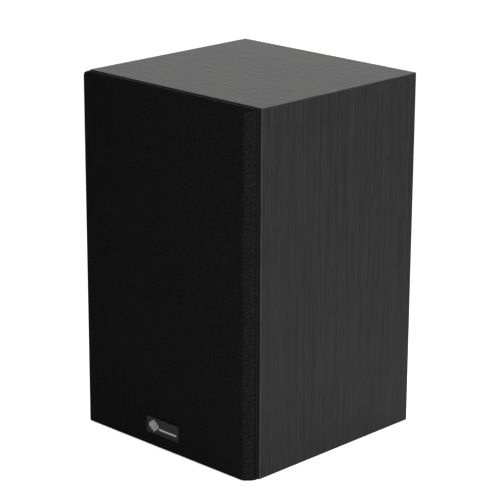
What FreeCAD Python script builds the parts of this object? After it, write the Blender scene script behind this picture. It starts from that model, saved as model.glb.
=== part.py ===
import FreeCAD, Part
import math
import os

# Two-way bookshelf speaker. Millimetres, +Z up, the grille faces -Y and +X is the listener's right.
# Y starts at the front edge of the wrapped shell, and every piece is moved by centre_y when it is saved,
# so that the origin ends up under the middle of the whole speaker.

# Cabinet
cabinet_width = 212.0
cabinet_height = 330.0
shell_depth = 197.0
panel_thickness = 15.0
fold_radius = 0.5
front_inset = 0.7
baffle_lip = 3.5
baffle_plug = 14.5

# Grille
grille_board = 9.0
cloth_thickness = 0.75
grille_side_chamfer = 6.4
grille_edge_round = 1.4
cloth_return = 12.0
window_side_rail = 18.0
window_top_rail = 18.0
window_bottom_rail = 32.0
window_corner = 45.0
badge_width = 40.5
badge_height = 15.0
badge_thickness = 1.5
badge_centre_z = 21.2
badge_corner = 1.2
badge_rim = 0.9
badge_rim_depth = 0.5
peg_edge_margin = 9.0
peg_radius = 3.0
peg_reach = 10.5
peg_seat = 6.0
peg_collar_radius = 4.6
peg_collar_thickness = 0.75
peg_fit = 0.05
socket_wall = 3.0
socket_floor = 1.5
socket_rim_radius = 7.5
socket_rim_thickness = 0.8

# Woofer
woofer_radius = 83.0
woofer_flange = 4.0
woofer_step = 2.0
woofer_cutout_radius = 72.0
basket_sheet = 1.5
cone_radius = 56.0
roll_radius = 5.0
surround_thickness = 0.8
cone_thickness = 1.0
coil_radius = 12.6
former_thickness = 0.3
winding_thickness = 0.7
gap_clearance = 0.5
winding_length = 12.0
woofer_depth = 46.0
woofer_plate_radius = 40.0
woofer_plate_thickness = 6.0
woofer_magnet_radius = 45.0
woofer_magnet_thickness = 16.0
dust_cap_radius = 19.0
dust_cap_rise = 7.0
recess_clearance = 0.5

# Tweeter
tweeter_radius = 47.0
tweeter_flange = 4.0
tweeter_cutout_radius = 36.5
driver_gap = 8.0
tweeter_top_margin = 35.0
dome_radius = 12.7
dome_height = 6.0
tweeter_horn_radius = 40.0
tweeter_throat_radius = 17.0
tweeter_plate_radius = 30.0
tweeter_plate_thickness = 3.0
tweeter_magnet_radius = 33.0
tweeter_magnet_thickness = 10.0
tweeter_yoke_thickness = 3.5

# Driver and cup screws
screw_radius = 1.9
screw_hole_clearance = 0.3
screw_head_radius = 3.8
screw_head_height = 2.2
screw_length = 12.0
hex_socket_radius = 1.7

# Port
port_radius = 25.0
port_wall = 2.0
port_length = 95.0
port_flange_radius = 40.0
port_flange_thickness = 3.0
port_collar_radius = 32.5
port_collar_clearance = 0.3

# Terminals
cup_width = 62.0
cup_height = 42.0
cup_depth = 26.0
cup_corner = 6.0
cup_wall = 2.5
cup_flange_margin = 12.0
cup_gasket = 1.0
cup_centre_z = 95.0
cup_clearance = 0.6
post_spacing = 19.0
post_radius = 3.0
post_shoulder_radius = 5.0
post_shoulder = 1.5
post_reach = 18.2
plug_bore_radius = 2.05
plug_bore_length = 12.5
cap_radius = 6.0
cap_length = 18.0
cap_end_wall = 2.0
cap_fit = 0.05
cap_end_gap = 0.3
cap_hole_radius = 2.5
cap_flutes = 12
clamp_washer = 1.0
washer_play = 0.02
nut_across_flats = 10.0
nut_thickness = 3.0
tag_thickness = 0.8
tag_length = 15.0
tag_width = 5.0

# Crossover
board_length = 120.0
board_width = 75.0
board_thickness = 1.6
board_height = 6.0
board_rear_margin = 12.0
spacer_radius = 4.0
lead_radius = 1.2
tinsel_radius = 0.5

# Damping pads
pad_thickness = 16.0
pad_margin = 10.0
pad_stand_off = 0.3

# Places worked out from the sizes above
half_width = cabinet_width / 2
inner_half = half_width - panel_thickness
inner_top = cabinet_height - panel_thickness
baffle_face = -baffle_lip
grille_thickness = grille_board + 2 * cloth_thickness
grille_face = baffle_face - grille_thickness
badge_face = grille_face - badge_thickness
rear_inside = shell_depth - panel_thickness
cup_flange_face = shell_depth + cup_gasket + cup_wall
port_face = shell_depth + port_flange_thickness
cup_floor = cup_flange_face - cup_depth
rearmost = max(cup_flange_face + screw_head_height, port_face)
centre_y = -(badge_face + rearmost) / 2
tweeter_z = cabinet_height - tweeter_top_margin - tweeter_radius
woofer_z = tweeter_z - tweeter_radius - driver_gap - woofer_radius
former_outer = coil_radius + former_thickness
winding_outer = former_outer + winding_thickness
pole_radius = coil_radius - gap_clearance
plate_hole = winding_outer + gap_clearance
surround_rim_outer = cone_radius + 2 * roll_radius + 8
peg_x = inner_half - peg_edge_margin
peg_low_z = panel_thickness + peg_edge_margin
peg_high_z = inner_top - peg_edge_margin
board_rear = rear_inside - board_rear_margin
board_front = board_rear - board_width
board_low = panel_thickness + board_height
board_top = board_low + board_thickness


def save(name, shape):
    """Writes one piece, moved so that the origin is under the middle of the speaker."""
    moved = shape.copy()
    moved.translate(FreeCAD.Vector(0, centre_y, 0))
    moved.exportStep("parts/" + name + ".step")


def box(x, y, z):
    """A block between the two values given for each direction."""
    corner = FreeCAD.Vector(min(x), min(y), min(z))
    return Part.makeBox(max(x) - min(x), max(y) - min(y), max(z) - min(z), corner)


def rod(x, z, radius, front, back):
    """A cylinder along Y."""
    base = FreeCAD.Vector(x, front, z)
    return Part.makeCylinder(radius, back - front, base, FreeCAD.Vector(0, 1, 0))


def ring(x, z, outer, inner, front, back):
    """A washer or tube along Y."""
    return rod(x, z, outer, front, back).cut(rod(x, z, inner, front - 1, back + 1))


def face_of(edges):
    return Part.Face(Part.Wire(edges))


def turned(points, x, z, angle=360.0, start=0.0):
    """A solid of revolution about the Y axis through x, z, from an outline of (radius, y) points."""
    corners = [FreeCAD.Vector(radius, y, 0) for radius, y in points]
    outline = Part.makePolygon(corners + corners[:1])
    solid = Part.Face(outline).revolve(FreeCAD.Vector(0, 0, 0), FreeCAD.Vector(0, 1, 0), angle)
    solid.rotate(FreeCAD.Vector(0, 0, 0), FreeCAD.Vector(0, 1, 0), start)
    solid.translate(FreeCAD.Vector(x, 0, z))
    return solid


def turned_edges(edges, x, z):
    """A full solid of revolution about Y from an outline of straight and curved edges."""
    solid = face_of(edges).revolve(FreeCAD.Vector(0, 0, 0), FreeCAD.Vector(0, 1, 0), 360)
    solid.translate(FreeCAD.Vector(x, 0, z))
    return solid


def line(a, b):
    return Part.LineSegment(FreeCAD.Vector(a[0], a[1], 0), FreeCAD.Vector(b[0], b[1], 0)).toShape()


def arc(a, middle, b):
    ends = [FreeCAD.Vector(p[0], p[1], 0) for p in (a, middle, b)]
    return Part.Arc(*ends).toShape()


def rounded_plate(x, z, width, height, corner, front, back):
    """A plate lying in the XZ plane with its four corners rounded."""
    plate = box((x - width / 2, x + width / 2), (front, back), (z - height / 2, z + height / 2))
    upright = [edge for edge in plate.Edges if abs(edge.tangentAt(0).y) > 0.9]
    return plate.makeFillet(corner, upright)


def joined(solids):
    """Several touching shapes as one solid."""
    shape = solids[0].fuse(solids[1:])
    return shape.removeSplitter()


def tube(points, radius):
    """A lead: straight runs joined by tangent arcs as large as the runs allow."""
    spots = [FreeCAD.Vector(*p) for p in points]
    edges = []
    start = spots[0]
    smallest = None
    for before, corner, after in zip(spots, spots[1:], spots[2:]):
        inward = (corner - before).normalize()
        outward = (after - corner).normalize()
        half_turn = inward.getAngle(outward) / 2
        tangent = 0.45 * min(corner.distanceToPoint(before), corner.distanceToPoint(after))
        bend = tangent / math.tan(half_turn)
        smallest = bend if smallest is None else min(smallest, bend)
        first = corner - inward * tangent
        last = corner + outward * tangent
        towards = (outward - inward).normalize()
        centre = corner + towards * (bend / math.cos(half_turn))
        middle = centre - towards * bend
        edges.append(Part.LineSegment(start, first).toShape())
        edges.append(Part.Arc(first, middle, last).toShape())
        start = last
    edges.append(Part.LineSegment(start, spots[-1]).toShape())
    path = Part.Wire(edges)
    direction = (spots[1] - spots[0]).normalize()
    section = Part.Wire(Part.makeCircle(radius, spots[0], direction))
    solid = path.makePipeShell([section], True, False)
    ratio = solid.Volume / (math.pi * radius**2 * path.Length)
    print("lead length %.1f, smallest bend %.1f, volume ratio %.4f" % (path.Length, smallest, ratio))
    return solid


def screw(x, z, seat, direction):
    """A pan-head screw whose head sits on the plane y = seat; direction is +1 when its shank goes to +Y."""
    head_top = seat - direction * screw_head_height
    tip = seat + direction * screw_length
    head = rod(x, z, screw_head_radius, min(seat, head_top), max(seat, head_top))
    rim = [edge for edge in head.Edges if abs(edge.BoundBox.YMax - head_top) < 1e-6 and edge.BoundBox.YLength < 1e-6]
    head = head.makeFillet(screw_head_height * 0.4, rim)
    shank = rod(x, z, screw_radius, min(seat, tip), max(seat, tip))
    body = joined([head, shank])
    socket_end = head_top + direction * screw_head_height * 0.6
    return body.cut(hexagon(x, z, hex_socket_radius, min(head_top, socket_end), max(head_top, socket_end)))


def hexagon(x, z, inner_radius, front, back):
    """A six-sided prism along Y; inner_radius is half its width across flats."""
    reach = inner_radius / math.cos(math.pi / 6)
    turns = [math.radians(60 * k) for k in range(7)]
    corners = [FreeCAD.Vector(x + reach * math.cos(t), front, z + reach * math.sin(t)) for t in turns]
    return Part.Face(Part.makePolygon(corners)).extrude(FreeCAD.Vector(0, back - front, 0))


def around(x, z, radius, count, first):
    """Places spread evenly on a circle, as x, z pairs; first is an angle in degrees."""
    angles = [math.radians(first + 360 * k / count) for k in range(count)]
    return [(x + radius * math.cos(a), z + radius * math.sin(a)) for a in angles]


# ---- cabinet -------------------------------------------------------------------------------------

def shell():
    """The folded wrap of four boards as one tube, with every outer edge slightly rounded."""
    block = box((-half_width, half_width), (0, shell_depth), (0, cabinet_height))
    block = block.makeFillet(fold_radius, block.Edges)
    hollow = box((-inner_half, inner_half), (-1, shell_depth + 1), (panel_thickness, inner_top))
    return block.cut(hollow)


def mitre_wedge(outer_a, outer_b, inner_b, inner_a):
    """The part of the shell between two 45-degree folds, from four x, z corners."""
    corners = [FreeCAD.Vector(x, -1, z) for x, z in (outer_a, outer_b, inner_b, inner_a, outer_a)]
    return Part.Face(Part.makePolygon(corners)).extrude(FreeCAD.Vector(0, shell_depth + 2, 0))


def cabinet_panels():
    """Left, right, top and bottom boards, cut at the folds."""
    tube_of_boards = shell()
    outer = [(-half_width, 0), (half_width, 0), (half_width, cabinet_height), (-half_width, cabinet_height)]
    inner = [(-inner_half, panel_thickness), (inner_half, panel_thickness), (inner_half, inner_top),
             (-inner_half, inner_top)]
    names = ["bottom_panel", "right_panel", "top_panel", "left_panel"]
    for k, name in enumerate(names):
        following = (k + 1) % 4
        wedge = mitre_wedge(outer[k], outer[following], inner[following], inner[k])
        save(name, tube_of_boards.common(wedge))


def peg_places():
    return [(side * peg_x, z) for side in (-1, 1) for z in (peg_low_z, peg_high_z)]


def woofer_screw_places():
    return around(0, woofer_z, woofer_radius - 4.5, 4, 45)


def tweeter_screw_places():
    return around(0, tweeter_z, tweeter_radius - 3.6, 4, 45)


def front_baffle():
    """The black front board: a lip over the shell's front edges and a plug inside the shell."""
    lip = box((-half_width + front_inset, half_width - front_inset), (baffle_face, 0),
              (front_inset, cabinet_height - front_inset))
    plug = box((-inner_half, inner_half), (0, baffle_plug), (panel_thickness, inner_top))
    board = joined([lip, plug])
    behind = baffle_plug + 1
    board = board.cut(rod(0, woofer_z, woofer_radius + recess_clearance, baffle_face - 1,
                          baffle_face + woofer_flange))
    board = board.cut(rod(0, woofer_z, woofer_cutout_radius, baffle_face, behind))
    board = board.cut(rod(0, tweeter_z, tweeter_radius + recess_clearance, baffle_face - 1,
                          baffle_face + tweeter_flange))
    board = board.cut(rod(0, tweeter_z, tweeter_cutout_radius, baffle_face, behind))
    for x, z in peg_places():
        board = board.cut(peg_socket_envelope(x, z))
    for x, z in woofer_screw_places() + tweeter_screw_places():
        board = board.cut(rod(x, z, screw_radius, baffle_face, baffle_face + screw_length))
    return board


def rear_panel():
    """The rear board inside the shell, with the port hole, the cup's opening and the cup's screw holes."""
    board = box((-inner_half, inner_half), (rear_inside, shell_depth), (panel_thickness, inner_top))
    hole = port_collar_radius + port_collar_clearance
    board = board.cut(rod(0, port_z(), hole, rear_inside - 1, shell_depth + 1))
    opening = rounded_plate(0, cup_centre_z, cup_width + 2 * (cup_wall + cup_clearance),
                            cup_height + 2 * (cup_wall + cup_clearance), cup_corner + cup_wall,
                            rear_inside - 1, shell_depth + 1)
    board = board.cut(opening)
    for x, z in cup_screw_places():
        board = board.cut(rod(x, z, screw_radius, cup_flange_face - screw_length, shell_depth + 1))
    return board


# ---- grille --------------------------------------------------------------------------------------

def grille_block(shrink, front, back, rounding):
    """The grille's outer shape, drawn in by shrink all round: chamfered upright sides, rounded ends."""
    side = half_width - front_inset - shrink
    chamfer = grille_side_chamfer - shrink * (2 - math.sqrt(2))
    outline = [(-side, back), (side, back), (side, front + chamfer), (side - chamfer, front),
               (-side + chamfer, front), (-side, front + chamfer), (-side, back)]
    low = front_inset + shrink
    face = Part.Face(Part.makePolygon([FreeCAD.Vector(x, y, low) for x, y in outline]))
    block = face.extrude(FreeCAD.Vector(0, 0, cabinet_height - 2 * low))
    ends = [edge for edge in block.Edges
            if edge.BoundBox.YMax < front + 1e-6 and edge.BoundBox.ZLength < 1e-6]
    return block.makeFillet(rounding, ends)


def window(front, back):
    """The grille's open middle, with large rounded corners."""
    side = half_width - front_inset - window_side_rail
    low = front_inset + window_bottom_rail
    high = cabinet_height - front_inset - window_top_rail
    return rounded_plate(0, (low + high) / 2, 2 * side, high - low, window_corner, front, back)


def grille_frame():
    """The stiff board behind the cloth, with its window and four blind holes for the pegs."""
    front = grille_face + cloth_thickness
    back = baffle_face - cloth_thickness
    frame = grille_block(cloth_thickness, front, back, grille_edge_round - cloth_thickness)
    frame = frame.cut(window(front - 1, back + 1))
    for x, z in peg_places():
        frame = frame.cut(rod(x, z, peg_radius, back - peg_seat, back + 1))
    return frame


def grille_cloth():
    """The cloth: over the face and sides, and returned behind the frame along all four edges."""
    skin = grille_block(0, grille_face, baffle_face, grille_edge_round)
    core = grille_block(cloth_thickness, grille_face + cloth_thickness, baffle_face - cloth_thickness,
                        grille_edge_round - cloth_thickness)
    skin = skin.cut(core)
    side = half_width - front_inset - cloth_return
    low = front_inset + cloth_return
    opening = box((-side, side), (baffle_face - 2 * cloth_thickness, baffle_face + 1), (low, cabinet_height - low))
    return skin.cut(opening)


def grille_badge():
    """A small plate on the cloth, low in the middle, with a raised rim."""
    plate = rounded_plate(0, badge_centre_z, badge_width, badge_height, badge_corner, badge_face, grille_face)
    field = rounded_plate(0, badge_centre_z, badge_width - 2 * badge_rim, badge_height - 2 * badge_rim,
                          badge_corner / 2, badge_face - 1, badge_face + badge_rim_depth)
    return plate.cut(field)


def grille_peg(x, z):
    """A push-in peg: a stem in the frame, a collar against it and a round-nosed pin for the socket."""
    back = baffle_face - cloth_thickness
    stem = rod(x, z, peg_radius, back - peg_seat, back)
    collar = rod(x, z, peg_collar_radius, back, back + peg_collar_thickness)
    pin_end = baffle_face + peg_reach
    pin = rod(x, z, peg_radius, back, pin_end)
    nose = [edge for edge in pin.Edges if edge.BoundBox.YMin > pin_end - 1e-6]
    pin = pin.makeFillet(peg_radius * 0.7, nose)
    waist = ring(x, z, peg_radius + 1, peg_radius * 0.8, baffle_face + 2, baffle_face + 5)
    return joined([stem, collar, pin]).cut(waist)


def peg_socket_depth():
    return peg_reach + 1 + socket_floor


def peg_socket_envelope(x, z):
    """The socket's outer shape, which is also its hole in the baffle."""
    outer = peg_radius + socket_wall
    body = rod(x, z, outer, baffle_face, baffle_face + peg_socket_depth())
    rim = rod(x, z, socket_rim_radius, baffle_face, baffle_face + socket_rim_thickness)
    return joined([body, rim])


def peg_socket(x, z):
    """A rubber socket, flush in the baffle, that grips a peg."""
    bore_end = baffle_face + peg_reach + 1
    bore = rod(x, z, peg_radius + peg_fit, baffle_face - 1, bore_end)
    return peg_socket_envelope(x, z).cut(bore)


# ---- woofer --------------------------------------------------------------------------------------
# Outlines below give radius and depth behind the baffle's face.

def at_face(points):
    return [(radius, baffle_face + depth) for radius, depth in points]


def ledge_depth():
    """How deep the basket's ledge for the spider lies."""
    return woofer_depth - 12


def woofer_basket():
    """Pressed basket: flange, sloping wall with four windows, spider ledge and rear pot."""
    wall = woofer_cutout_radius - 2
    ledge = ledge_depth()
    pot = woofer_plate_radius
    sheet = basket_sheet
    outline = at_face([
        (woofer_radius, 0), (woofer_radius, woofer_flange), (wall, woofer_flange), (wall - 1, 15),
        (pot + 8, ledge), (pot + 8, ledge + sheet), (pot, ledge + sheet), (pot, woofer_depth),
        (plate_hole + 1.5, woofer_depth), (plate_hole + 1.5, woofer_depth - sheet),
        (pot - sheet, woofer_depth - sheet), (pot - sheet, ledge), (pot + 8 - sheet, ledge),
        (wall - 1 - sheet * 1.2, 14.5), (wall - sheet, woofer_flange),
        (cone_radius + 2 * roll_radius, woofer_flange), (cone_radius + 2 * roll_radius, woofer_step),
        (surround_rim_outer + 0.5, woofer_step), (surround_rim_outer + 0.5, 0)])
    basket = turned(outline, 0, woofer_z)
    opening = at_face([(pot / 2, 18), (woofer_radius, 18), (woofer_radius, ledge - 2), (pot / 2, ledge - 2)])
    for start in (-28, 62, 152, 242):
        basket = basket.cut(turned(opening, 0, woofer_z, 56, start))
    for x, z in woofer_screw_places():
        hole = rod(x, z, screw_radius + screw_hole_clearance, baffle_face - 1, baffle_face + woofer_flange + 1)
        basket = basket.cut(hole)
    return basket


def woofer_gasket():
    """The trim ring glued over the surround's outer rim."""
    front = baffle_face
    back = baffle_face + woofer_step - surround_thickness
    return ring(0, woofer_z, surround_rim_outer, cone_radius + 2 * roll_radius + 0.5, front, back)


def woofer_surround():
    """The half-roll rubber edge, between the cone's rim and the basket's flange."""
    back = baffle_face + woofer_step
    front = back - surround_thickness
    middle = cone_radius + roll_radius
    outer = roll_radius
    inner = roll_radius - surround_thickness
    inside = cone_radius - 3
    outside = surround_rim_outer
    edges = [
        line((inside, back), (inside, front)),
        line((inside, front), (middle - outer, front)),
        arc((middle - outer, front), (middle, front - outer), (middle + outer, front)),
        line((middle + outer, front), (outside, front)),
        line((outside, front), (outside, back)),
        line((outside, back), (middle + inner, back)),
        line((middle + inner, back), (middle + inner, front)),
        arc((middle + inner, front), (middle, front - inner), (middle - inner, front)),
        line((middle - inner, front), (middle - inner, back)),
        line((middle - inner, back), (inside, back)),
    ]
    return turned_edges(edges, 0, woofer_z)


def cone_line():
    """Front face of the cone: radius and y at the neck, part way up and at its rim."""
    rim_y = baffle_face + woofer_step
    neck = (former_outer, rim_y + 22)
    part_way = (33.0, rim_y + 9)
    rim = (cone_radius - 3, rim_y + 0.6)
    return neck, part_way, rim


def woofer_cone():
    """A curved paper cone with a flat glue rim."""
    neck, part_way, rim = cone_line()
    thick = cone_thickness
    rim_y = baffle_face + woofer_step
    edge_outer = cone_radius - 0.5
    edges = [
        arc(neck, part_way, rim),
        line(rim, (rim[0], rim_y)),
        line((rim[0], rim_y), (edge_outer, rim_y)),
        line((edge_outer, rim_y), (edge_outer, rim_y + thick)),
        line((edge_outer, rim_y + thick), (rim[0], rim[1] + thick)),
        arc((rim[0], rim[1] + thick), (part_way[0], part_way[1] + thick), (neck[0], neck[1] + thick)),
        line((neck[0], neck[1] + thick), neck),
    ]
    return turned_edges(edges, 0, woofer_z)


def cone_front_at(radius):
    """Depth of the cone's front face at a radius, on the same arc as the cone."""
    neck, part_way, rim = cone_line()
    curve = arc(neck, part_way, rim).Curve
    centre = curve.Center
    return centre.y + math.copysign(math.sqrt(curve.Radius**2 - (radius - centre.x)**2), part_way[1] - centre.y)


def domed_shell(z, radius, rise, thick, foot):
    """A thin spherical cap about the Y axis that bulges towards -Y from its foot."""
    sphere = (radius**2 + rise**2) / (2 * rise)
    centre = foot - rise + sphere
    inner = sphere - thick
    inner_radius = math.sqrt(inner**2 - (centre - foot)**2)
    outer_half = math.asin(radius / sphere) / 2
    inner_half_angle = math.asin(inner_radius / inner) / 2
    outer_mid = (sphere * math.sin(outer_half), centre - sphere * math.cos(outer_half))
    inner_mid = (inner * math.sin(inner_half_angle), centre - inner * math.cos(inner_half_angle))
    edges = [
        line((0, centre - sphere), (0, centre - inner)),
        arc((0, centre - inner), inner_mid, (inner_radius, foot)),
        line((inner_radius, foot), (radius, foot)),
        arc((radius, foot), outer_mid, (0, centre - sphere)),
    ]
    return turned_edges(edges, 0, z)


def dust_cap():
    """A domed cap glued over the voice coil."""
    foot = cone_front_at(dust_cap_radius) - 0.1
    return domed_shell(woofer_z, dust_cap_radius, dust_cap_rise, 0.8, foot)


def woofer_former():
    """The thin tube that carries the voice coil."""
    neck = cone_line()[0]
    end = baffle_face + woofer_depth + woofer_plate_thickness + 5
    return ring(0, woofer_z, former_outer, coil_radius, neck[1] - 2, end)


def woofer_coil():
    """The winding, centred on the magnet's gap."""
    middle = baffle_face + woofer_depth + woofer_plate_thickness / 2
    return ring(0, woofer_z, winding_outer, former_outer, middle - winding_length / 2, middle + winding_length / 2)


def woofer_spider():
    """The corrugated cloth disc that centres the coil, glued to the basket's ledge."""
    back = baffle_face + ledge_depth()
    thick = 0.6
    ledge_inner = woofer_plate_radius - basket_sheet
    waves = 4
    start = former_outer + 2
    pitch = (ledge_inner - 1 - start) / waves
    front_edges = []
    back_edges = []
    for k in range(waves):
        a = start + k * pitch
        b = a + pitch
        rise = 1.6 if k % 2 else -1.6
        front_edges.append(arc((a, back - thick), ((a + b) / 2, back - thick + rise), (b, back - thick)))
        back_edges.append(arc((b, back), ((a + b) / 2, back + rise), (a, back)))
    outside = woofer_plate_radius + 8 - basket_sheet - 0.5
    edges = [line((former_outer, back), (former_outer, back - thick)),
             line((former_outer, back - thick), (start, back - thick))]
    edges += front_edges
    edges += [line((ledge_inner - 1, back - thick), (outside, back - thick)),
              line((outside, back - thick), (outside, back)),
              line((outside, back), (ledge_inner - 1, back))]
    edges += back_edges[::-1]
    edges.append(line((start, back), (former_outer, back)))
    return turned_edges(edges, 0, woofer_z)


def woofer_motor():
    """Top plate, ring magnet and T-shaped yoke."""
    front = baffle_face + woofer_depth
    plate_back = front + woofer_plate_thickness
    magnet_back = plate_back + woofer_magnet_thickness
    yoke_back = magnet_back + woofer_plate_thickness
    save("woofer_top_plate", ring(0, woofer_z, woofer_plate_radius, plate_hole, front, plate_back))
    save("woofer_magnet", ring(0, woofer_z, woofer_magnet_radius, woofer_magnet_radius / 2, plate_back, magnet_back))
    pole = rod(0, woofer_z, pole_radius, front, magnet_back)
    disc = rod(0, woofer_z, woofer_plate_radius, magnet_back, yoke_back)
    vent = rod(0, woofer_z, pole_radius / 3, front - 1, yoke_back + 1)
    save("woofer_yoke", joined([pole, disc]).cut(vent))


def woofer_tag_place():
    """Where both tags of the woofer's terminal strip end: x, y and their half spacing in z."""
    return woofer_plate_radius + 11, baffle_face + ledge_depth() + 4, 5.0


def woofer_terminals():
    """A strip on the side of the basket's pot with two solder tags."""
    tag_x, tag_y, half = woofer_tag_place()
    strip = box((woofer_plate_radius - 4, woofer_plate_radius + 2), (tag_y - 1, tag_y + 6),
                (woofer_z - 10, woofer_z + 10))
    strip = strip.cut(rod(0, woofer_z, woofer_plate_radius, tag_y - 3, tag_y + 9))
    tags = [box((woofer_plate_radius + 1, tag_x + 1.5), (tag_y, tag_y + tag_thickness),
                (woofer_z + side * half - 1.5, woofer_z + side * half + 1.5)) for side in (-1, 1)]
    return joined([strip] + tags)


def tinsel_leads():
    """Two limp leads from the strip through a basket window to the back of the cone."""
    tag_x, tag_y, half = woofer_tag_place()
    back_of_cone = cone_front_at(24.0) + cone_thickness + 0.6
    leads = []
    for side in (-1, 1):
        z = woofer_z + side * half
        route = [(tag_x, tag_y, z), (tag_x, tag_y - 9, z), (tag_x - 8, tag_y - 15, z),
                 (tag_x - 18, tag_y - 14, z), (24.0, back_of_cone + 0.6, z)]
        leads.append(tube(route, tinsel_radius))
    return Part.Compound(leads)


# ---- tweeter -------------------------------------------------------------------------------------

def tweeter_seat():
    """Depth behind the baffle's face at which the diaphragm's rim is clamped."""
    return 7.0


def tweeter_faceplate():
    """Moulded plate with a shallow horn and four screw holes."""
    seat = tweeter_seat()
    neck = tweeter_cutout_radius - 2.5
    outline = at_face([(tweeter_radius, 0), (tweeter_radius, tweeter_flange), (neck, tweeter_flange),
                       (neck, seat), (tweeter_throat_radius, seat), (tweeter_throat_radius, seat - 2.5),
                       (tweeter_horn_radius - 4, 0.6), (tweeter_horn_radius, 0)])
    plate = turned(outline, 0, tweeter_z)
    for x, z in tweeter_screw_places():
        hole = rod(x, z, screw_radius + screw_hole_clearance, baffle_face - 1, baffle_face + tweeter_flange + 1)
        plate = plate.cut(hole)
    return plate


def tweeter_dome():
    """The soft dome."""
    return domed_shell(tweeter_z, dome_radius, dome_height, 0.4, baffle_face + tweeter_seat())


def tweeter_surround():
    """The dome's small half-roll edge and its clamped rim."""
    seat = baffle_face + tweeter_seat()
    thick = 0.4
    roll = 1.4
    inner = dome_radius
    outer = inner + 2 * roll
    middle = inner + roll
    edges = [
        line((inner, seat + thick), (inner, seat)),
        arc((inner, seat), (middle, seat - roll), (outer, seat)),
        line((outer, seat), (outer + 4, seat)),
        line((outer + 4, seat), (outer + 4, seat + thick)),
        line((outer + 4, seat + thick), (outer - thick, seat + thick)),
        line((outer - thick, seat + thick), (outer - thick, seat)),
        arc((outer - thick, seat), (middle, seat - roll + thick), (inner + thick, seat)),
        line((inner + thick, seat), (inner + thick, seat + thick)),
        line((inner + thick, seat + thick), (inner, seat + thick)),
    ]
    return turned_edges(edges, 0, tweeter_z)


def tweeter_coil():
    """Former and winding of the tweeter as one wound tube, hanging from the dome's edge."""
    front = baffle_face + tweeter_seat() + 0.4
    return ring(0, tweeter_z, dome_radius + 0.4, dome_radius - 0.2, front, front + 4.5)


def tweeter_motor():
    """Top plate, ring magnet and yoke of the tweeter."""
    front = baffle_face + tweeter_seat() + 0.4
    plate_back = front + tweeter_plate_thickness
    magnet_back = plate_back + tweeter_magnet_thickness
    yoke_back = magnet_back + tweeter_yoke_thickness
    hole = dome_radius + 0.4 + gap_clearance
    save("tweeter_top_plate", ring(0, tweeter_z, tweeter_plate_radius, hole, front, plate_back))
    save("tweeter_magnet", ring(0, tweeter_z, tweeter_magnet_radius, dome_radius + 5, plate_back, magnet_back))
    pole = rod(0, tweeter_z, dome_radius - 0.2 - gap_clearance, front + 0.5, magnet_back)
    disc = rod(0, tweeter_z, tweeter_plate_radius, magnet_back, yoke_back)
    save("tweeter_yoke", joined([pole, disc]))


def tweeter_back():
    return baffle_face + tweeter_seat() + 0.4 + tweeter_plate_thickness + tweeter_magnet_thickness \
        + tweeter_yoke_thickness


def tweeter_terminals():
    """A strip on the yoke's back with two solder tags."""
    back = tweeter_back()
    strip = box((-12, 12), (back, back + 2), (tweeter_z - 5, tweeter_z + 5))
    tags = [box((side * 8 - 1.5, side * 8 + 1.5), (back + 1, back + 8),
                (tweeter_z - tag_thickness / 2, tweeter_z + tag_thickness / 2)) for side in (-1, 1)]
    return joined([strip] + tags)


# ---- port and terminals --------------------------------------------------------------------------

def port_z():
    return tweeter_z


def port_tube():
    """The bass-reflex tube with a flared mouth and a flange on the rear panel."""
    front = port_face - port_length
    outer = port_radius + port_wall
    collar = port_collar_radius
    flare = collar - port_radius - 0.5
    mouth = port_radius + flare
    swing = flare * (1 - math.sqrt(0.5))
    edges = [
        line((port_radius, front), (outer, front)),
        line((outer, front), (outer, rear_inside - 8)),
        line((outer, rear_inside - 8), (collar, rear_inside)),
        line((collar, rear_inside), (collar, shell_depth)),
        line((collar, shell_depth), (port_flange_radius, shell_depth)),
        line((port_flange_radius, shell_depth), (port_flange_radius, port_face - 1)),
        line((port_flange_radius, port_face - 1), (port_flange_radius - 1, port_face)),
        line((port_flange_radius - 1, port_face), (mouth, port_face)),
        arc((mouth, port_face), (port_radius + swing, port_face - flare + (flare - swing)),
            (port_radius, port_face - flare)),
        line((port_radius, port_face - flare), (port_radius, front)),
    ]
    return turned_edges(edges, 0, port_z())


def cup_screw_places():
    x = cup_width / 2 + cup_flange_margin / 2 + 0.5
    z = cup_height / 2 + cup_flange_margin / 2 + 0.5
    return [(sx * x, cup_centre_z + sz * z) for sx in (-1, 1) for sz in (-1, 1)]


def cup_outline(grow, front, back):
    """The cup's rounded rectangle, grown all round, between two depths."""
    return rounded_plate(0, cup_centre_z, cup_width + 2 * grow, cup_height + 2 * grow, cup_corner + grow,
                         front, back)


def terminal_cup():
    """The recessed moulding that holds the two posts."""
    flange = cup_outline(cup_flange_margin, cup_flange_face - cup_wall, cup_flange_face)
    rim = [edge for edge in flange.Edges if edge.BoundBox.YMin > cup_flange_face - 1e-6]
    flange = flange.makeFillet(cup_wall * 0.4, rim)
    body = cup_outline(cup_wall, cup_floor - cup_wall, cup_flange_face - cup_wall / 2)
    cup = joined([flange, body]).cut(cup_outline(0, cup_floor, cup_flange_face + 1))
    for x in post_places():
        cup = cup.cut(rod(x, cup_centre_z, post_radius, cup_floor - cup_wall - 1, cup_floor + 1))
    for x, z in cup_screw_places():
        cup = cup.cut(rod(x, z, screw_radius + screw_hole_clearance, shell_depth, cup_flange_face + 1))
    return cup


def cup_gasket_ring():
    """The foam gasket between the cup's flange and the rear panel."""
    outer = cup_outline(cup_flange_margin - 0.5, shell_depth, shell_depth + cup_gasket)
    inner = cup_outline(cup_wall + cup_clearance, shell_depth - 1, shell_depth + cup_gasket + 1)
    gasket = outer.cut(inner)
    for x, z in cup_screw_places():
        gasket = gasket.cut(rod(x, z, screw_radius + screw_hole_clearance, shell_depth - 1, cup_flange_face))
    return gasket


def post_places():
    return [-post_spacing / 2, post_spacing / 2]


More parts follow.
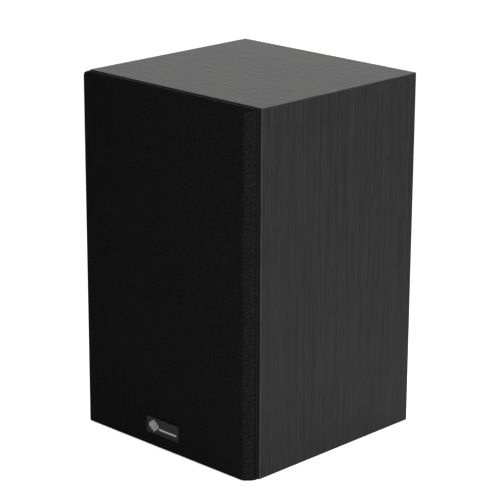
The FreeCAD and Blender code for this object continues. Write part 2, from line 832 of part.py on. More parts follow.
def binding_post(x):
    """A plated stud: shoulder on the cup's floor, bored for a 4 mm plug, cross-drilled for bare wire."""
    z = cup_centre_z
    inner_end = cup_floor - cup_wall - tag_thickness - nut_thickness - 1.5
    outer_end = cup_floor + post_reach
    stud = rod(x, z, post_radius, inner_end, outer_end)
    shoulder = rod(x, z, post_shoulder_radius, cup_floor, cup_floor + post_shoulder)
    post = joined([stud, shoulder])
    post = post.cut(rod(x, z, plug_bore_radius, outer_end - plug_bore_length, outer_end + 1))
    wire_hole = Part.makeCylinder(1.1, 4 * post_radius, FreeCAD.Vector(x, cup_floor + 3.9, z - 2 * post_radius),
                                  FreeCAD.Vector(0, 0, 1))
    return post.cut(wire_hole)


def washer_front():
    return cup_floor + post_shoulder


def clamp_ring(x):
    """The washer that slides along the stud under the cap."""
    front = washer_front()
    return ring(x, cup_centre_z, post_shoulder_radius, post_radius + cap_fit, front, front + clamp_washer)


def post_cap(x):
    """The knob that screws down the stud: fluted outside, open at the end for a 4 mm plug."""
    front = washer_front() + clamp_washer + washer_play
    end = front - washer_play + cap_length
    cap = rod(x, cup_centre_z, cap_radius, front, end)
    rim = [edge for edge in cap.Edges if edge.BoundBox.YMin > end - 1e-6]
    cap = cap.makeFillet(0.8, rim)
    cap = cap.cut(rod(x, cup_centre_z, post_radius + cap_fit, front - 1, end - cap_end_wall))
    cap = cap.cut(rod(x, cup_centre_z, cap_hole_radius, front, end + 1))
    for flute_x, flute_z in around(x, cup_centre_z, cap_radius + 0.35, cap_flutes, 0):
        cap = cap.cut(rod(flute_x, flute_z, 0.9, front + 3, end + 1))
    return cap


def post_nuts():
    """The nuts that clamp the posts and their tags, inside the cabinet."""
    back = cup_floor - cup_wall - tag_thickness
    nuts = []
    for x in post_places():
        nut = hexagon(x, cup_centre_z, nut_across_flats / 2, back - nut_thickness, back)
        nuts.append(nut.cut(rod(x, cup_centre_z, post_radius, back - nut_thickness - 1, back + 1)))
    return Part.Compound(nuts)


def solder_tags():
    """The tags under the nuts that the internal leads are soldered to."""
    back = cup_floor - cup_wall
    tags = []
    for x in post_places():
        eye = rod(x, cup_centre_z, nut_across_flats / 2, back - tag_thickness, back)
        strip = box((x - tag_width / 2, x + tag_width / 2), (back - tag_thickness, back),
                    (cup_centre_z - tag_length, cup_centre_z))
        tag = joined([eye, strip])
        tags.append(tag.cut(rod(x, cup_centre_z, post_radius, back - tag_thickness - 1, back + 1)))
    return Part.Compound(tags)


# ---- crossover, leads and damping ----------------------------------------------------------------

def board_corner_places():
    x = board_length / 2 - 6
    return [(sx * x, y) for sx in (-1, 1) for y in (board_front + 6, board_rear - 6)]


def upright(x, y, radius, low, high):
    """A cylinder along Z."""
    return Part.makeCylinder(radius, high - low, FreeCAD.Vector(x, y, low), FreeCAD.Vector(0, 0, 1))


def crossover_board():
    board = box((-board_length / 2, board_length / 2), (board_front, board_rear), (board_low, board_top))
    for x, y in board_corner_places():
        board = board.cut(upright(x, y, screw_radius, board_low - 1, board_top + 1))
    return board


def crossover_spacers():
    """Four sleeves that hold the board off the bottom panel."""
    sleeves = []
    for x, y in board_corner_places():
        sleeve = upright(x, y, spacer_radius, panel_thickness, board_low)
        sleeves.append(sleeve.cut(upright(x, y, screw_radius, panel_thickness - 1, board_low + 1)))
    return Part.Compound(sleeves)


def crossover_screws():
    """Four pan-head screws through the board and its sleeves."""
    screws = []
    for x, y in board_corner_places():
        head = upright(x, y, screw_head_radius, board_top, board_top + screw_head_height)
        top = [edge for edge in head.Edges if edge.BoundBox.ZMin > board_top + screw_head_height - 1e-6]
        head = head.makeFillet(screw_head_height * 0.4, top)
        shank = upright(x, y, screw_radius, panel_thickness, board_top)
        screws.append(joined([head, shank]))
    return Part.Compound(screws)


def choke(x, y, outer, inner, height, lying):
    """An air-cored coil on the board, upright or lying on its side."""
    coil = upright(0, 0, outer, 0, height).cut(upright(0, 0, inner, -1, height + 1))
    if lying:
        coil.rotate(FreeCAD.Vector(0, 0, 0), FreeCAD.Vector(0, 1, 0), 90)
        coil.translate(FreeCAD.Vector(-height / 2, 0, outer))
    coil.translate(FreeCAD.Vector(x, y, board_top))
    return coil


def capacitor(x, y, radius, length):
    """A film capacitor lying across the board."""
    can = Part.makeCylinder(radius, length, FreeCAD.Vector(x - length / 2, y, board_top + radius),
                            FreeCAD.Vector(1, 0, 0))
    return can.makeFillet(1.0, [edge for edge in can.Edges if edge.BoundBox.XLength < 1e-6])


def terminal_leads():
    """Two leads from the posts' tags down to the board."""
    y = cup_floor - cup_wall - tag_thickness - lead_radius
    leads = []
    for side in (-1, 1):
        x = side * post_spacing / 2
        start = cup_centre_z - tag_length + 6
        route = [(x, y, start), (x, y, start - 16), (side * 11, y - 5, board_top + 27),
                 (side * 12, y - 8, board_top + 13), (side * 12, y - 8, board_top)]
        leads.append(tube(route, lead_radius))
    return Part.Compound(leads)


def woofer_leads():
    """Two leads from the board up to the woofer's terminal strip."""
    tag_x, tag_y, half = woofer_tag_place()
    leads = []
    for side in (-1, 1):
        z = woofer_z + side * half
        y = tag_y + tag_thickness
        route = [(tag_x, y, z), (tag_x, y + 16, z), (tag_x + 1, y + 38, z - 20),
                 (tag_x - 1, y + 54 + side * 3, z - 48), (tag_x - 4, board_front + 12 + side * 4, board_top + 18),
                 (tag_x - 4, board_front + 12 + side * 4, board_top)]
        leads.append(tube(route, lead_radius))
    return Part.Compound(leads)


def tweeter_leads():
    """Two leads from the board up past the woofer's magnet to the tweeter."""
    leads = []
    for side in (-1, 1):
        end_y = tweeter_back() + 8
        shift = side * 3
        route = [(side * 8, end_y, tweeter_z), (side * 8, end_y + 12, tweeter_z),
                 (-22 + shift, end_y + 26, tweeter_z - 22), (-44 + shift, end_y + 36, tweeter_z - 58),
                 (-54 + shift, end_y + 44, woofer_z + 22), (-52 + shift, end_y + 54, woofer_z - 26),
                 (-50 + shift, board_front + 13, board_top + 20), (-50 + shift, board_front + 13, board_top)]
        leads.append(tube(route, lead_radius))
    return Part.Compound(leads)


def damping_pad(side):
    """A wadding pad stapled to a side wall."""
    outer = side * (inner_half - pad_stand_off)
    inner = side * (inner_half - pad_stand_off - pad_thickness)
    return box((outer, inner), (baffle_plug + pad_margin, rear_inside - pad_margin),
               (panel_thickness + pad_margin, inner_top - pad_margin))


# ---- everything ----------------------------------------------------------------------------------

def build():
    os.makedirs("parts", exist_ok=True)
    cabinet_panels()
    save("front_baffle", front_baffle())
    save("rear_panel", rear_panel())

    save("grille_frame", grille_frame())
    save("grille_cloth", grille_cloth())
    save("grille_badge", grille_badge())
    save("grille_pegs", Part.Compound([grille_peg(x, z) for x, z in peg_places()]))
    save("peg_sockets", Part.Compound([peg_socket(x, z) for x, z in peg_places()]))

    save("woofer_basket", woofer_basket())
    save("woofer_gasket", woofer_gasket())
    save("woofer_surround", woofer_surround())
    save("woofer_cone", woofer_cone())
    save("woofer_dust_cap", dust_cap())
    save("woofer_former", woofer_former())
    save("woofer_coil", woofer_coil())
    save("woofer_spider", woofer_spider())
    woofer_motor()
    save("woofer_terminals", woofer_terminals())
    save("woofer_tinsel_leads", tinsel_leads())
    save("woofer_screws", Part.Compound([screw(x, z, baffle_face, 1) for x, z in woofer_screw_places()]))

    save("tweeter_faceplate", tweeter_faceplate())
    save("tweeter_dome", tweeter_dome())
    save("tweeter_surround", tweeter_surround())
    save("tweeter_coil", tweeter_coil())
    tweeter_motor()
    save("tweeter_terminals", tweeter_terminals())
    save("tweeter_screws", Part.Compound([screw(x, z, baffle_face, 1) for x, z in tweeter_screw_places()]))

    save("port_tube", port_tube())
    save("terminal_cup", terminal_cup())
    save("cup_gasket", cup_gasket_ring())
    save("cup_screws", Part.Compound([screw(x, z, cup_flange_face, -1) for x, z in cup_screw_places()]))
    for colour, x in zip(("red", "black"), post_places()[::-1]):
        save(colour + "_post", binding_post(x))
        save(colour + "_clamp_washer", clamp_ring(x))
        save(colour + "_cap", post_cap(x))
    save("post_nuts", post_nuts())
    save("solder_tags", solder_tags())

    save("crossover_board", crossover_board())
    save("crossover_spacers", crossover_spacers())
    save("crossover_screws", crossover_screws())
    save("woofer_choke", choke(28, board_front + 32, 20, 9, 22, False))
    save("tweeter_choke", choke(-34, board_rear - 22, 13, 6, 14, True))
    save("woofer_capacitor", capacitor(34, board_rear - 13, 9, 34))
    save("tweeter_capacitor", capacitor(-18, board_front + 16, 7, 30))
    save("crossover_resistor", box((-34, 4), (board_front + 25, board_front + 34), (board_top, board_top + 9)))

    save("terminal_leads", terminal_leads())
    save("woofer_leads", woofer_leads())
    save("tweeter_leads", tweeter_leads())
    save("damping_left", damping_pad(-1))
    save("damping_right", damping_pad(1))


build()
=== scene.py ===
import math
import random

import bmesh
import bpy
from mathutils import Matrix, Quaternion, Vector
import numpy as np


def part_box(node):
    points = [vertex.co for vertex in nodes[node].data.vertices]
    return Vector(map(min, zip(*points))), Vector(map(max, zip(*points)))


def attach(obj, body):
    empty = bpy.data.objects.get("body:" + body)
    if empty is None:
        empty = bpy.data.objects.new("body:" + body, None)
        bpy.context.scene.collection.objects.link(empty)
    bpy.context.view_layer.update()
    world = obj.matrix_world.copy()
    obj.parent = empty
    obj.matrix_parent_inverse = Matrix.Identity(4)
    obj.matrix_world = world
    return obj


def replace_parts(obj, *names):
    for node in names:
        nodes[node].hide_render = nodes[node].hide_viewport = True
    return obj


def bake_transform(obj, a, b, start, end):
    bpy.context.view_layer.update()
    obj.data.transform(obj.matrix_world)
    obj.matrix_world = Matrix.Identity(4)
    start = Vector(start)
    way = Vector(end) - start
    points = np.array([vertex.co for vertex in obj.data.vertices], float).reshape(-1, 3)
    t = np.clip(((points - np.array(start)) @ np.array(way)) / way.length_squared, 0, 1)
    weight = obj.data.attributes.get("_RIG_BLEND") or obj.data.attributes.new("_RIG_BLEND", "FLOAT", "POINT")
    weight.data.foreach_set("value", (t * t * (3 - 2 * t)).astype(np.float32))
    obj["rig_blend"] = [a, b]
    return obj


# A two-way bookshelf speaker: black-ash foil cabinet, pull-off cloth grille, two drivers, a port and a
# terminal cup. Sizes are in metres, the grille faces -Y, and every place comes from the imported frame.
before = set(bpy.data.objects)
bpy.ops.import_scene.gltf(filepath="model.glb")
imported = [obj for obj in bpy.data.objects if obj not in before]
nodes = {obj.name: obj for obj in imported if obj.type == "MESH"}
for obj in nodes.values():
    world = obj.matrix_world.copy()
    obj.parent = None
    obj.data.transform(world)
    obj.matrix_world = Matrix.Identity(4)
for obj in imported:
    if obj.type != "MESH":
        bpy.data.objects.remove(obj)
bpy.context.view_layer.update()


# ---- studio --------------------------------------------------------------------------------------
# A sheet of white paper under the speaker, one broad lamp on the right, and surroundings that are bright
# behind the speaker and dim in front of it. None of it belongs to the speaker.

def add(tree, kind, inputs=None, **settings):
    """Adds a shader node, sets it up, and fills or links its inputs."""
    made = tree.nodes.new("ShaderNode" + kind)
    for name, value in settings.items():
        setattr(made, name, value)
    for name, value in (inputs or {}).items():
        socket = made.inputs[name]
        if isinstance(value, bpy.types.NodeSocket):
            tree.links.new(value, socket)
        else:
            socket.default_value = value
    return made


def maths(tree, operation, first, second=0.0, third=0.0):
    return add(tree, "Math", {0: first, 1: second, 2: third}, operation=operation).outputs[0]


def weighed(tree, first, first_weight, second, second_weight):
    return maths(tree, "MULTIPLY_ADD", first, first_weight, maths(tree, "MULTIPLY", second, second_weight))


def between(tree, value, low, high, to_low=0.0, to_high=1.0):
    """Carries the range low..high to to_low..to_high, and holds what lies outside it at the ends."""
    return add(tree, "MapRange", {0: value, 1: low, 2: high, 3: to_low, 4: to_high}).outputs[0]


def stretched(tree, vector, x, y, z):
    return add(tree, "VectorMath", {0: vector, 1: (x, y, z)}, operation="MULTIPLY").outputs[0]


def noise(tree, vector, scale, detail=2.0, roughness=0.5):
    inputs = {"Vector": vector, "Scale": scale, "Detail": detail, "Roughness": roughness}
    return add(tree, "TexNoise", inputs).outputs[0]


def mixed(tree, share, first, second):
    return add(tree, "Mix", {0: share, 6: first, 7: second}, data_type="RGBA").outputs[2]


def grey(value):
    return (value, value, value, 1.0)


def new_finish(name, **constants):
    """A material with its shader's constant sockets set, and the piece's own coordinates."""
    material = bpy.data.materials.new(name)
    material.use_nodes = True
    tree = material.node_tree
    shader = tree.nodes["Principled BSDF"]
    for socket, value in constants.items():
        shader.inputs[socket.replace("_", " ")].default_value = value
    return material, tree, shader, add(tree, "TexCoord").outputs["Object"]


def feed(tree, shader, colour=None, roughness=None, height=None, depth=0.0001):
    """Links the surface's colour, roughness and relief to its shader."""
    if colour is not None:
        tree.links.new(colour, shader.inputs["Base Color"])
    if roughness is not None:
        tree.links.new(roughness, shader.inputs["Roughness"])
    if height is not None:
        bump = add(tree, "Bump", {"Height": height, "Distance": depth})
        tree.links.new(bump.outputs[0], shader.inputs["Normal"])


def piece_from(name, mesh_in_work, material, body, smooth=True):
    """Turns finished mesh work into a piece that rides on a body."""
    mesh = bpy.data.meshes.new(name)
    mesh_in_work.to_mesh(mesh)
    mesh_in_work.free()
    mesh.materials.append(material)
    for face in mesh.polygons:
        face.use_smooth = smooth
    piece = bpy.data.objects.new(name, mesh)
    bpy.context.scene.collection.objects.link(piece)
    if body:
        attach(piece, body)
    return piece


def paper_finish():
    """White paper with a painted glow that only the camera sees, which keeps it clean white and hides the speaker's
    shadow on it; it is also paler close to the speaker, and throws most light back there.
    """
    material, tree, shader, place = new_finish("white_paper", Roughness=0.9, Emission_Strength=1.0)
    fleck = noise(tree, place, 6.0, 3.0)
    from_middle = add(tree, "VectorMath", {0: place}, operation="LENGTH").outputs["Value"]
    pool = between(tree, from_middle, 0.15, 1.1, 1.0, 0.0)
    feed(tree, shader, mixed(tree, maths(tree, "MULTIPLY_ADD", fleck, 0.1, pool), grey(0.40), grey(0.82)))
    # Painted glow: for camera rays only, the paper shines by itself, so it shows clean white and its shadows wash
    # out.
    camera_only_glow = add(tree, "LightPath").outputs["Is Camera Ray"]
    tree.links.new(mixed(tree, camera_only_glow, grey(0.0), grey(0.78)), shader.inputs["Emission Color"])
    return material


paper = paper_finish()
paper_work = bmesh.new()
bmesh.ops.create_grid(paper_work, x_segments=4, y_segments=4, size=6.0)
bmesh.ops.translate(paper_work, verts=paper_work.verts, vec=(0, 0, -0.0002))
piece_from("paper_floor", paper_work, paper, None, smooth=False)

world = bpy.data.worlds.new("white_room")
bpy.context.scene.world = world
world.use_nodes = True
room = world.node_tree
towards_back = add(room, "SeparateXYZ", {0: add(room, "TexCoord").outputs["Generated"]}).outputs[1]
room_light = mixed(room, between(room, towards_back, -0.35, 0.45), grey(0.20), grey(1.11))
room.links.new(room_light, room.nodes["Background"].inputs["Color"])
bpy.context.scene.view_settings.view_transform = "Standard"


def lamp(name, place, aim, size, watts):
    """A square soft lamp that points at a place."""
    light = bpy.data.lights.new(name, "AREA")
    light.size = size
    light.energy = watts
    holder = bpy.data.objects.new(name, light)
    holder.location = place
    holder.rotation_mode = "QUATERNION"
    holder.rotation_quaternion = (Vector(aim) - Vector(place)).to_track_quat("-Z", "Y")
    bpy.context.scene.collection.objects.link(holder)


lamp("right_lamp", (2.3, -0.66, 0.9), (0.1, 0.0, 0.17), 1.2, 40.0)

azimuth = math.radians(44.26)
elevation = math.radians(17.24)
camera_roll = math.radians(0.269)
camera_distance = 1.882
camera_aim = Vector((-0.0023, 0.0046, 0.1632))
backwards = Vector((math.sin(azimuth) * math.cos(elevation), -math.cos(azimuth) * math.cos(elevation),
                    math.sin(elevation)))
camera = bpy.data.objects.new("camera", bpy.data.cameras.new("camera"))
camera.data.lens = 148.75
camera.location = camera_aim + camera_distance * backwards
camera.rotation_mode = "QUATERNION"
camera.rotation_quaternion = (-backwards).to_track_quat("-Z", "Y") @ Quaternion((0, 0, 1), camera_roll)
bpy.context.scene.collection.objects.link(camera)
bpy.context.scene.camera = camera


# ---- cabinet boards ------------------------------------------------------------------------------
# Four 15 mm fibreboards folded from one sheet: black-ash foil is glued on flat, the board is grooved
# to the foil at each corner and folded round. The raw front and rear ends are sealed black.

def effect(name, inputs, outputs):
    """An empty shared effect with named inputs and outputs."""
    tree = bpy.data.node_groups.new(name, "ShaderNodeTree")
    for socket, kind in inputs:
        tree.interface.new_socket(socket, in_out="INPUT", socket_type="NodeSocket" + kind)
    for socket, kind in outputs:
        tree.interface.new_socket(socket, in_out="OUTPUT", socket_type="NodeSocket" + kind)
    return tree, tree.nodes.new("NodeGroupInput").outputs, tree.nodes.new("NodeGroupOutput").inputs


def laid_in(tree, shared_effect, **inputs):
    """Puts a shared effect into a finish, and gives back its outputs."""
    return add(tree, "Group", inputs, node_tree=shared_effect).outputs


def turned_grain(tree, place, along, across, through):
    """The same place with the grain's own direction first."""
    parts = add(tree, "SeparateXYZ", {0: place}).outputs
    return add(tree, "CombineXYZ", {0: parts[along], 1: parts[across], 2: parts[through]}).outputs[0]


def ash_grain_effect():
    """Straight ash grain along the first direction: fine fibres, hairlines, open pores, broad bands."""
    tree, given, result = effect("ash_grain", [("Vector", "Vector")],
                                 [("Tone", "Float"), ("Pores", "Float"), ("Bands", "Float"),
                                  ("Height", "Float")])
    drift = noise(tree, stretched(tree, given["Vector"], 2.0, 5.0, 5.0), 1.0, 1.0)
    sway = maths(tree, "MULTIPLY_ADD", drift, 0.003, -0.0015)
    shift = add(tree, "CombineXYZ", {0: 0.0, 1: sway, 2: sway}).outputs[0]
    bent = add(tree, "VectorMath", {0: given["Vector"], 1: shift}, operation="ADD").outputs[0]
    fibres = noise(tree, stretched(tree, bent, 14.0, 640.0, 640.0), 1.0, 2.0, 0.6)
    hairs = noise(tree, stretched(tree, bent, 45.0, 1400.0, 1400.0), 1.0, 2.0)
    bands = noise(tree, stretched(tree, bent, 4.5, 300.0, 300.0), 1.0, 2.0, 0.55)
    pore_field = noise(tree, stretched(tree, bent, 60.0, 700.0, 700.0), 1.0, 1.0)
    pores = between(tree, pore_field, 0.60, 0.68)
    flecks = noise(tree, stretched(tree, bent, 85.0, 420.0, 420.0), 1.0, 2.0, 0.6)
    tone = weighed(tree, hairs, 0.30, fibres, 0.70)
    tree.links.new(between(tree, tone, 0.34, 0.66), result["Tone"])
    tree.links.new(pores, result["Pores"])
    tree.links.new(between(tree, bands, 0.32, 0.68), result["Bands"])
    relief = weighed(tree, flecks, 1.6, tone, 0.3)
    tree.links.new(maths(tree, "MULTIPLY_ADD", pores, -0.15, relief), result["Height"])
    return tree


def fold_highlight_and_wear_effect():
    """A broken light line along a box's folded edges, partly painted highlight where the folds catch light and
    partly worn foil, and a mask of what lies under its skin.
    """
    tree, given, result = effect("fold_highlight_and_wear", [("Vector", "Vector"), ("Centre", "Vector"), ("Half", "Vector"),
                                               ("Width", "Float")], [("Highlight_and_wear", "Float"), ("Inner", "Float")])
    offset = add(tree, "VectorMath", {0: given["Vector"], 1: given["Centre"]},
                 operation="SUBTRACT").outputs[0]
    folded = add(tree, "VectorMath", {0: offset}, operation="ABSOLUTE").outputs[0]
    inside = add(tree, "VectorMath", {0: folded, 1: given["Half"]}, operation="SUBTRACT").outputs[0]
    x, y, z = add(tree, "SeparateXYZ", {0: inside}).outputs
    middle = maths(tree, "MAXIMUM", maths(tree, "MINIMUM", x, y),
                   maths(tree, "MINIMUM", maths(tree, "MAXIMUM", x, y), z))
    line = between(tree, maths(tree, "DIVIDE", middle, given["Width"]), -1.0, -0.35)
    patchy = between(tree, noise(tree, given["Vector"], 55.0, 3.0), 0.35, 0.65, 0.45, 1.0)
    tree.links.new(maths(tree, "MULTIPLY", line, patchy), result["Highlight_and_wear"])
    outermost = maths(tree, "MAXIMUM", maths(tree, "MAXIMUM", x, y), z)
    skin = 0.0012
    soft = 0.0001
    tree.links.new(between(tree, outermost, soft - skin, -soft - skin), result["Inner"])
    return tree


def raw_board_effect():
    """Bare fibreboard: pale brown, with darker and lighter fibres pressed every way."""
    tree, given, result = effect("raw_board", [("Vector", "Vector")],
                                 [("Color", "Color"), ("Height", "Float")])
    fibres = noise(tree, given["Vector"], 900.0, 4.0, 0.7)
    cloud = noise(tree, given["Vector"], 30.0, 3.0)
    share = weighed(tree, cloud, 0.4, fibres, 0.6)
    brown = mixed(tree, between(tree, share, 0.35, 0.65), (0.17, 0.105, 0.055, 1.0),
                  (0.34, 0.23, 0.135, 1.0))
    tree.links.new(brown, result["Color"])
    tree.links.new(fibres, result["Height"])
    return tree


ash_grain = ash_grain_effect()
fold_highlight_and_wear = fold_highlight_and_wear_effect()
raw_board = raw_board_effect()
shell_low = Vector((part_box("left_panel")[0].x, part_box("left_panel")[0].y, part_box("bottom_panel")[0].z))
shell_high = Vector((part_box("right_panel")[1].x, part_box("right_panel")[1].y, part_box("top_panel")[1].z))
shell_centre = (shell_low + shell_high) / 2
shell_half = (shell_high - shell_low) / 2


def ash_foil(name, along, across, through, deep, light, warmth, relief):
    """Black-ash foil with its grain along one axis, and sealed fibreboard on the boards' ends."""
    material, tree, shader, place = new_finish(name, Specular_IOR_Level=0.32)
    grain = laid_in(tree, ash_grain, Vector=turned_grain(tree, place, along, across, through))
    shade = weighed(tree, grain["Bands"], 0.38, grain["Tone"], 0.62)
    colour = mixed(tree, shade, deep, light)
    colour = mixed(tree, maths(tree, "MULTIPLY", grain["Pores"], 0.6), colour, grey(0.001))
    warm_patch = between(tree, noise(tree, stretched(tree, place, 16.0, 16.0, 16.0), 1.0, 2.0), 0.48, 0.66)
    warm_share = maths(tree, "MULTIPLY", maths(tree, "MULTIPLY", warm_patch, grain["Tone"]), warmth)
    colour = mixed(tree, warm_share, colour, (0.058, 0.045, 0.020, 1.0))
    folded = laid_in(tree, fold_highlight_and_wear, Vector=place, Centre=shell_centre, Half=shell_half, Width=0.0011)
    # Painted highlight along the folded edges, partly worn foil: a lighter grey laid along them.
    colour = mixed(tree, folded["Highlight_and_wear"], colour, grey(0.062))
    board = laid_in(tree, raw_board, Vector=place)
    colour = mixed(tree, folded["Inner"], colour, board["Color"])
    facing = add(tree, "TexCoord").outputs["Normal"]
    facing_y = add(tree, "SeparateXYZ", {0: facing}).outputs[1]
    end_grain = between(tree, maths(tree, "ABSOLUTE", facing_y), 0.90, 0.97)
    speckle = noise(tree, place, 1400.0, 3.0)
    sealed = mixed(tree, speckle, grey(0.006), grey(0.016))
    colour = mixed(tree, end_grain, colour, sealed)
    dullness = maths(tree, "MULTIPLY", maths(tree, "MAXIMUM", end_grain, folded["Inner"]), 0.8)
    roughness = between(tree, maths(tree, "ADD", shade, dullness), 0.0, 1.6, 0.40, 0.62)
    height = mixed(tree, end_grain, grain["Height"], speckle)
    feed(tree, shader, colour, roughness, height, relief)
    return material


def dress(material, *names):
    """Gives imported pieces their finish."""
    for name in names:
        nodes[name].data.materials[0] = material


X, Y, Z = 0, 1, 2
# One foil in two copies, with the grain up the side boards and across the top and bottom. Painted light: the level
# copy's light tone is about three times the upright copy's, standing in for the stronger light on the top.
dress(ash_foil("ash_foil_upright", Z, Y, X, grey(0.002), grey(0.0185), 0.0, 0.00012),
      "left_panel", "right_panel")
dress(ash_foil("ash_foil_level_painted_lighter", X, Y, Z, grey(0.002), grey(0.058), 0.4, 0.00045),
      "top_panel", "bottom_panel")


# ---- front baffle and rear panel -----------------------------------------------------------------
# The baffle is a fibreboard plug with a lip over the shell's front ends, sprayed matt black. The rear
# panel is let in flush and covered with plain black foil that has a fine leather-like emboss.

def moulded_skin_effect():
    """A fine pebbled skin, as on textured plastic, powder coat or embossed foil."""
    tree, given, result = effect("moulded_skin", [("Vector", "Vector"), ("Grain", "Float")],
                                 [("Tone", "Float"), ("Height", "Float")])
    scale = maths(tree, "DIVIDE", 1.0, given["Grain"])
    cells = add(tree, "TexVoronoi", {"Vector": given["Vector"], "Scale": scale},
                feature="SMOOTH_F1").outputs[0]
    dust = noise(tree, given["Vector"], scale, 3.0)
    broad = noise(tree, given["Vector"], 14.0, 3.0)
    tree.links.new(between(tree, weighed(tree, broad, 0.6, dust, 0.4),
                           0.3, 0.7), result["Tone"])
    relief = weighed(tree, cells, 0.7, dust, 0.5)
    tree.links.new(relief, result["Height"])
    return tree


moulded_skin = moulded_skin_effect()


def skinned_finish(name, dark, light, grain, relief, low_gloss, high_gloss, **constants):
    """A black or coloured surface with the pebbled skin; the gloss wanders between two roughnesses."""
    material, tree, shader, place = new_finish(name, **constants)
    skin = laid_in(tree, moulded_skin, Vector=place, Grain=grain)
    roughness = between(tree, skin["Tone"], 0.0, 1.0, low_gloss, high_gloss)
    feed(tree, shader, mixed(tree, skin["Tone"], dark, light), roughness, skin["Height"], relief)
    return material


baffle_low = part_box("front_baffle")[0]


def baffle_finish():
    """Sprayed satin black with a light orange peel on the face; the milled edges are dull, and their colour is
    darkened with painted shade for the groove under the grille.
    """
    material, tree, shader, place = new_finish("baffle_paint", Specular_IOR_Level=0.16)
    skin = laid_in(tree, moulded_skin, Vector=place, Grain=0.0014)
    depth = add(tree, "SeparateXYZ", {0: place}).outputs[Y]
    edge = between(tree, depth, baffle_low.y + 0.0001, baffle_low.y + 0.0004)
    # Painted shade: behind the front face, the lip's edges go almost black.
    colour = mixed(tree, edge, mixed(tree, skin["Tone"], grey(0.009), grey(0.014)), grey(0.0035))
    roughness = maths(tree, "MAXIMUM", between(tree, skin["Tone"], 0.0, 1.0, 0.42, 0.55), edge)
    feed(tree, shader, colour, roughness, skin["Height"], 0.00003)
    return material


dress(baffle_finish(), "front_baffle")


def rear_finish():
    """Plain black foil with a fine emboss on the outer face, bare fibreboard on the rest."""
    material, tree, shader, place = new_finish("rear_foil", Specular_IOR_Level=0.35)
    skin = laid_in(tree, moulded_skin, Vector=place, Grain=0.0016)
    board = laid_in(tree, raw_board, Vector=place)
    face_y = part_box("rear_panel")[1].y
    bare = between(tree, add(tree, "SeparateXYZ", {0: place}).outputs[Y], face_y - 0.0003, face_y - 0.0006)
    colour = mixed(tree, bare, mixed(tree, skin["Tone"], grey(0.009), grey(0.016)), board["Color"])
    roughness = maths(tree, "MULTIPLY_ADD", bare, 0.25, between(tree, skin["Tone"], 0.0, 1.0, 0.44, 0.60))
    feed(tree, shader, colour, roughness, mixed(tree, bare, skin["Height"], board["Height"]), 0.00007)
    return material


dress(rear_finish(), "rear_panel")


# ---- port tube -----------------------------------------------------------------------------------
# One black moulding: a round flange on the rear panel, a collar in the hole, and the tuned tube.
# The mould was turned on a lathe, which leaves faint rings on it.

def around_axis_effect():
    """Where a point lies about an axis along Y: its radius and the direction of its spoke."""
    tree, given, result = effect("around_axis", [("Vector", "Vector"), ("Centre", "Vector")],
                                 [("Radius", "Float"), ("Spoke", "Vector")])
    offset = add(tree, "VectorMath", {0: given["Vector"], 1: given["Centre"]},
                 operation="SUBTRACT").outputs[0]
    flat = stretched(tree, offset, 1.0, 0.0, 1.0)
    tree.links.new(add(tree, "VectorMath", {0: flat}, operation="LENGTH").outputs["Value"], result["Radius"])
    tree.links.new(add(tree, "VectorMath", {0: flat}, operation="NORMALIZE").outputs[0], result["Spoke"])
    return tree


around_axis = around_axis_effect()


def middle_of(name):
    low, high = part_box(name)
    return (low + high) / 2


def lathe_rings(tree, place, centre, ring_width):
    """Fine irregular rings about a centre, from 0 to 1."""
    radius = laid_in(tree, around_axis, Vector=place, Centre=centre)["Radius"]
    stepped = add(tree, "CombineXYZ", {0: maths(tree, "DIVIDE", radius, ring_width)}).outputs[0]
    return noise(tree, stepped, 1.0, 2.0)


def ringed_plastic(name, centre, dark, light, grain):
    """Black moulding with a fine skin over faint lathe rings."""
    material, tree, shader, place = new_finish(name, Specular_IOR_Level=0.45)
    skin = laid_in(tree, moulded_skin, Vector=place, Grain=grain)
    rings = lathe_rings(tree, place, centre, 0.0006)
    height = maths(tree, "MULTIPLY_ADD", rings, 0.5, skin["Height"])
    roughness = between(tree, maths(tree, "ADD", skin["Tone"], rings), 0.4, 1.6, 0.34, 0.50)
    feed(tree, shader, mixed(tree, skin["Tone"], dark, light), roughness, height, 0.00003)
    return material


dress(ringed_plastic("port_plastic_rings", middle_of("port_tube"), grey(0.010), grey(0.017), 0.0007),
      "port_tube")


# ---- crossover -----------------------------------------------------------------------------------
# A brown board on nylon sleeves, screwed to the bottom board. It carries two air-cored chokes, two
# tape-wrapped film capacitors and one cement resistor, and leads run to the posts and drivers.

def board_finish():
    """Paper-phenolic board: mottled brown with faint fibres."""
    material, tree, shader, place = new_finish("phenolic_board", Specular_IOR_Level=0.4)
    fibres = noise(tree, stretched(tree, place, 160.0, 1600.0, 300.0), 1.0, 3.0)
    cloud = noise(tree, place, 40.0, 3.0)
    share = weighed(tree, fibres, 0.5, cloud, 0.5)
    colour = mixed(tree, share, (0.16, 0.085, 0.030, 1.0), (0.34, 0.20, 0.085, 1.0))
    feed(tree, shader, colour, between(tree, cloud, 0.3, 0.7, 0.30, 0.45), fibres, 0.00003)
    return material


def brushed_metal_effect():
    """Drawn or ground metal: long scratches along the first direction and a cloudy film."""
    tree, given, result = effect("brushed_metal", [("Vector", "Vector")],
                                 [("Scratch", "Float"), ("Film", "Float")])
    scratch = noise(tree, stretched(tree, given["Vector"], 120.0, 3800.0, 3800.0), 1.0, 3.0)
    tree.links.new(scratch, result["Scratch"])
    tree.links.new(between(tree, noise(tree, given["Vector"], 70.0, 4.0), 0.3, 0.7), result["Film"])
    return tree


brushed_metal = brushed_metal_effect()


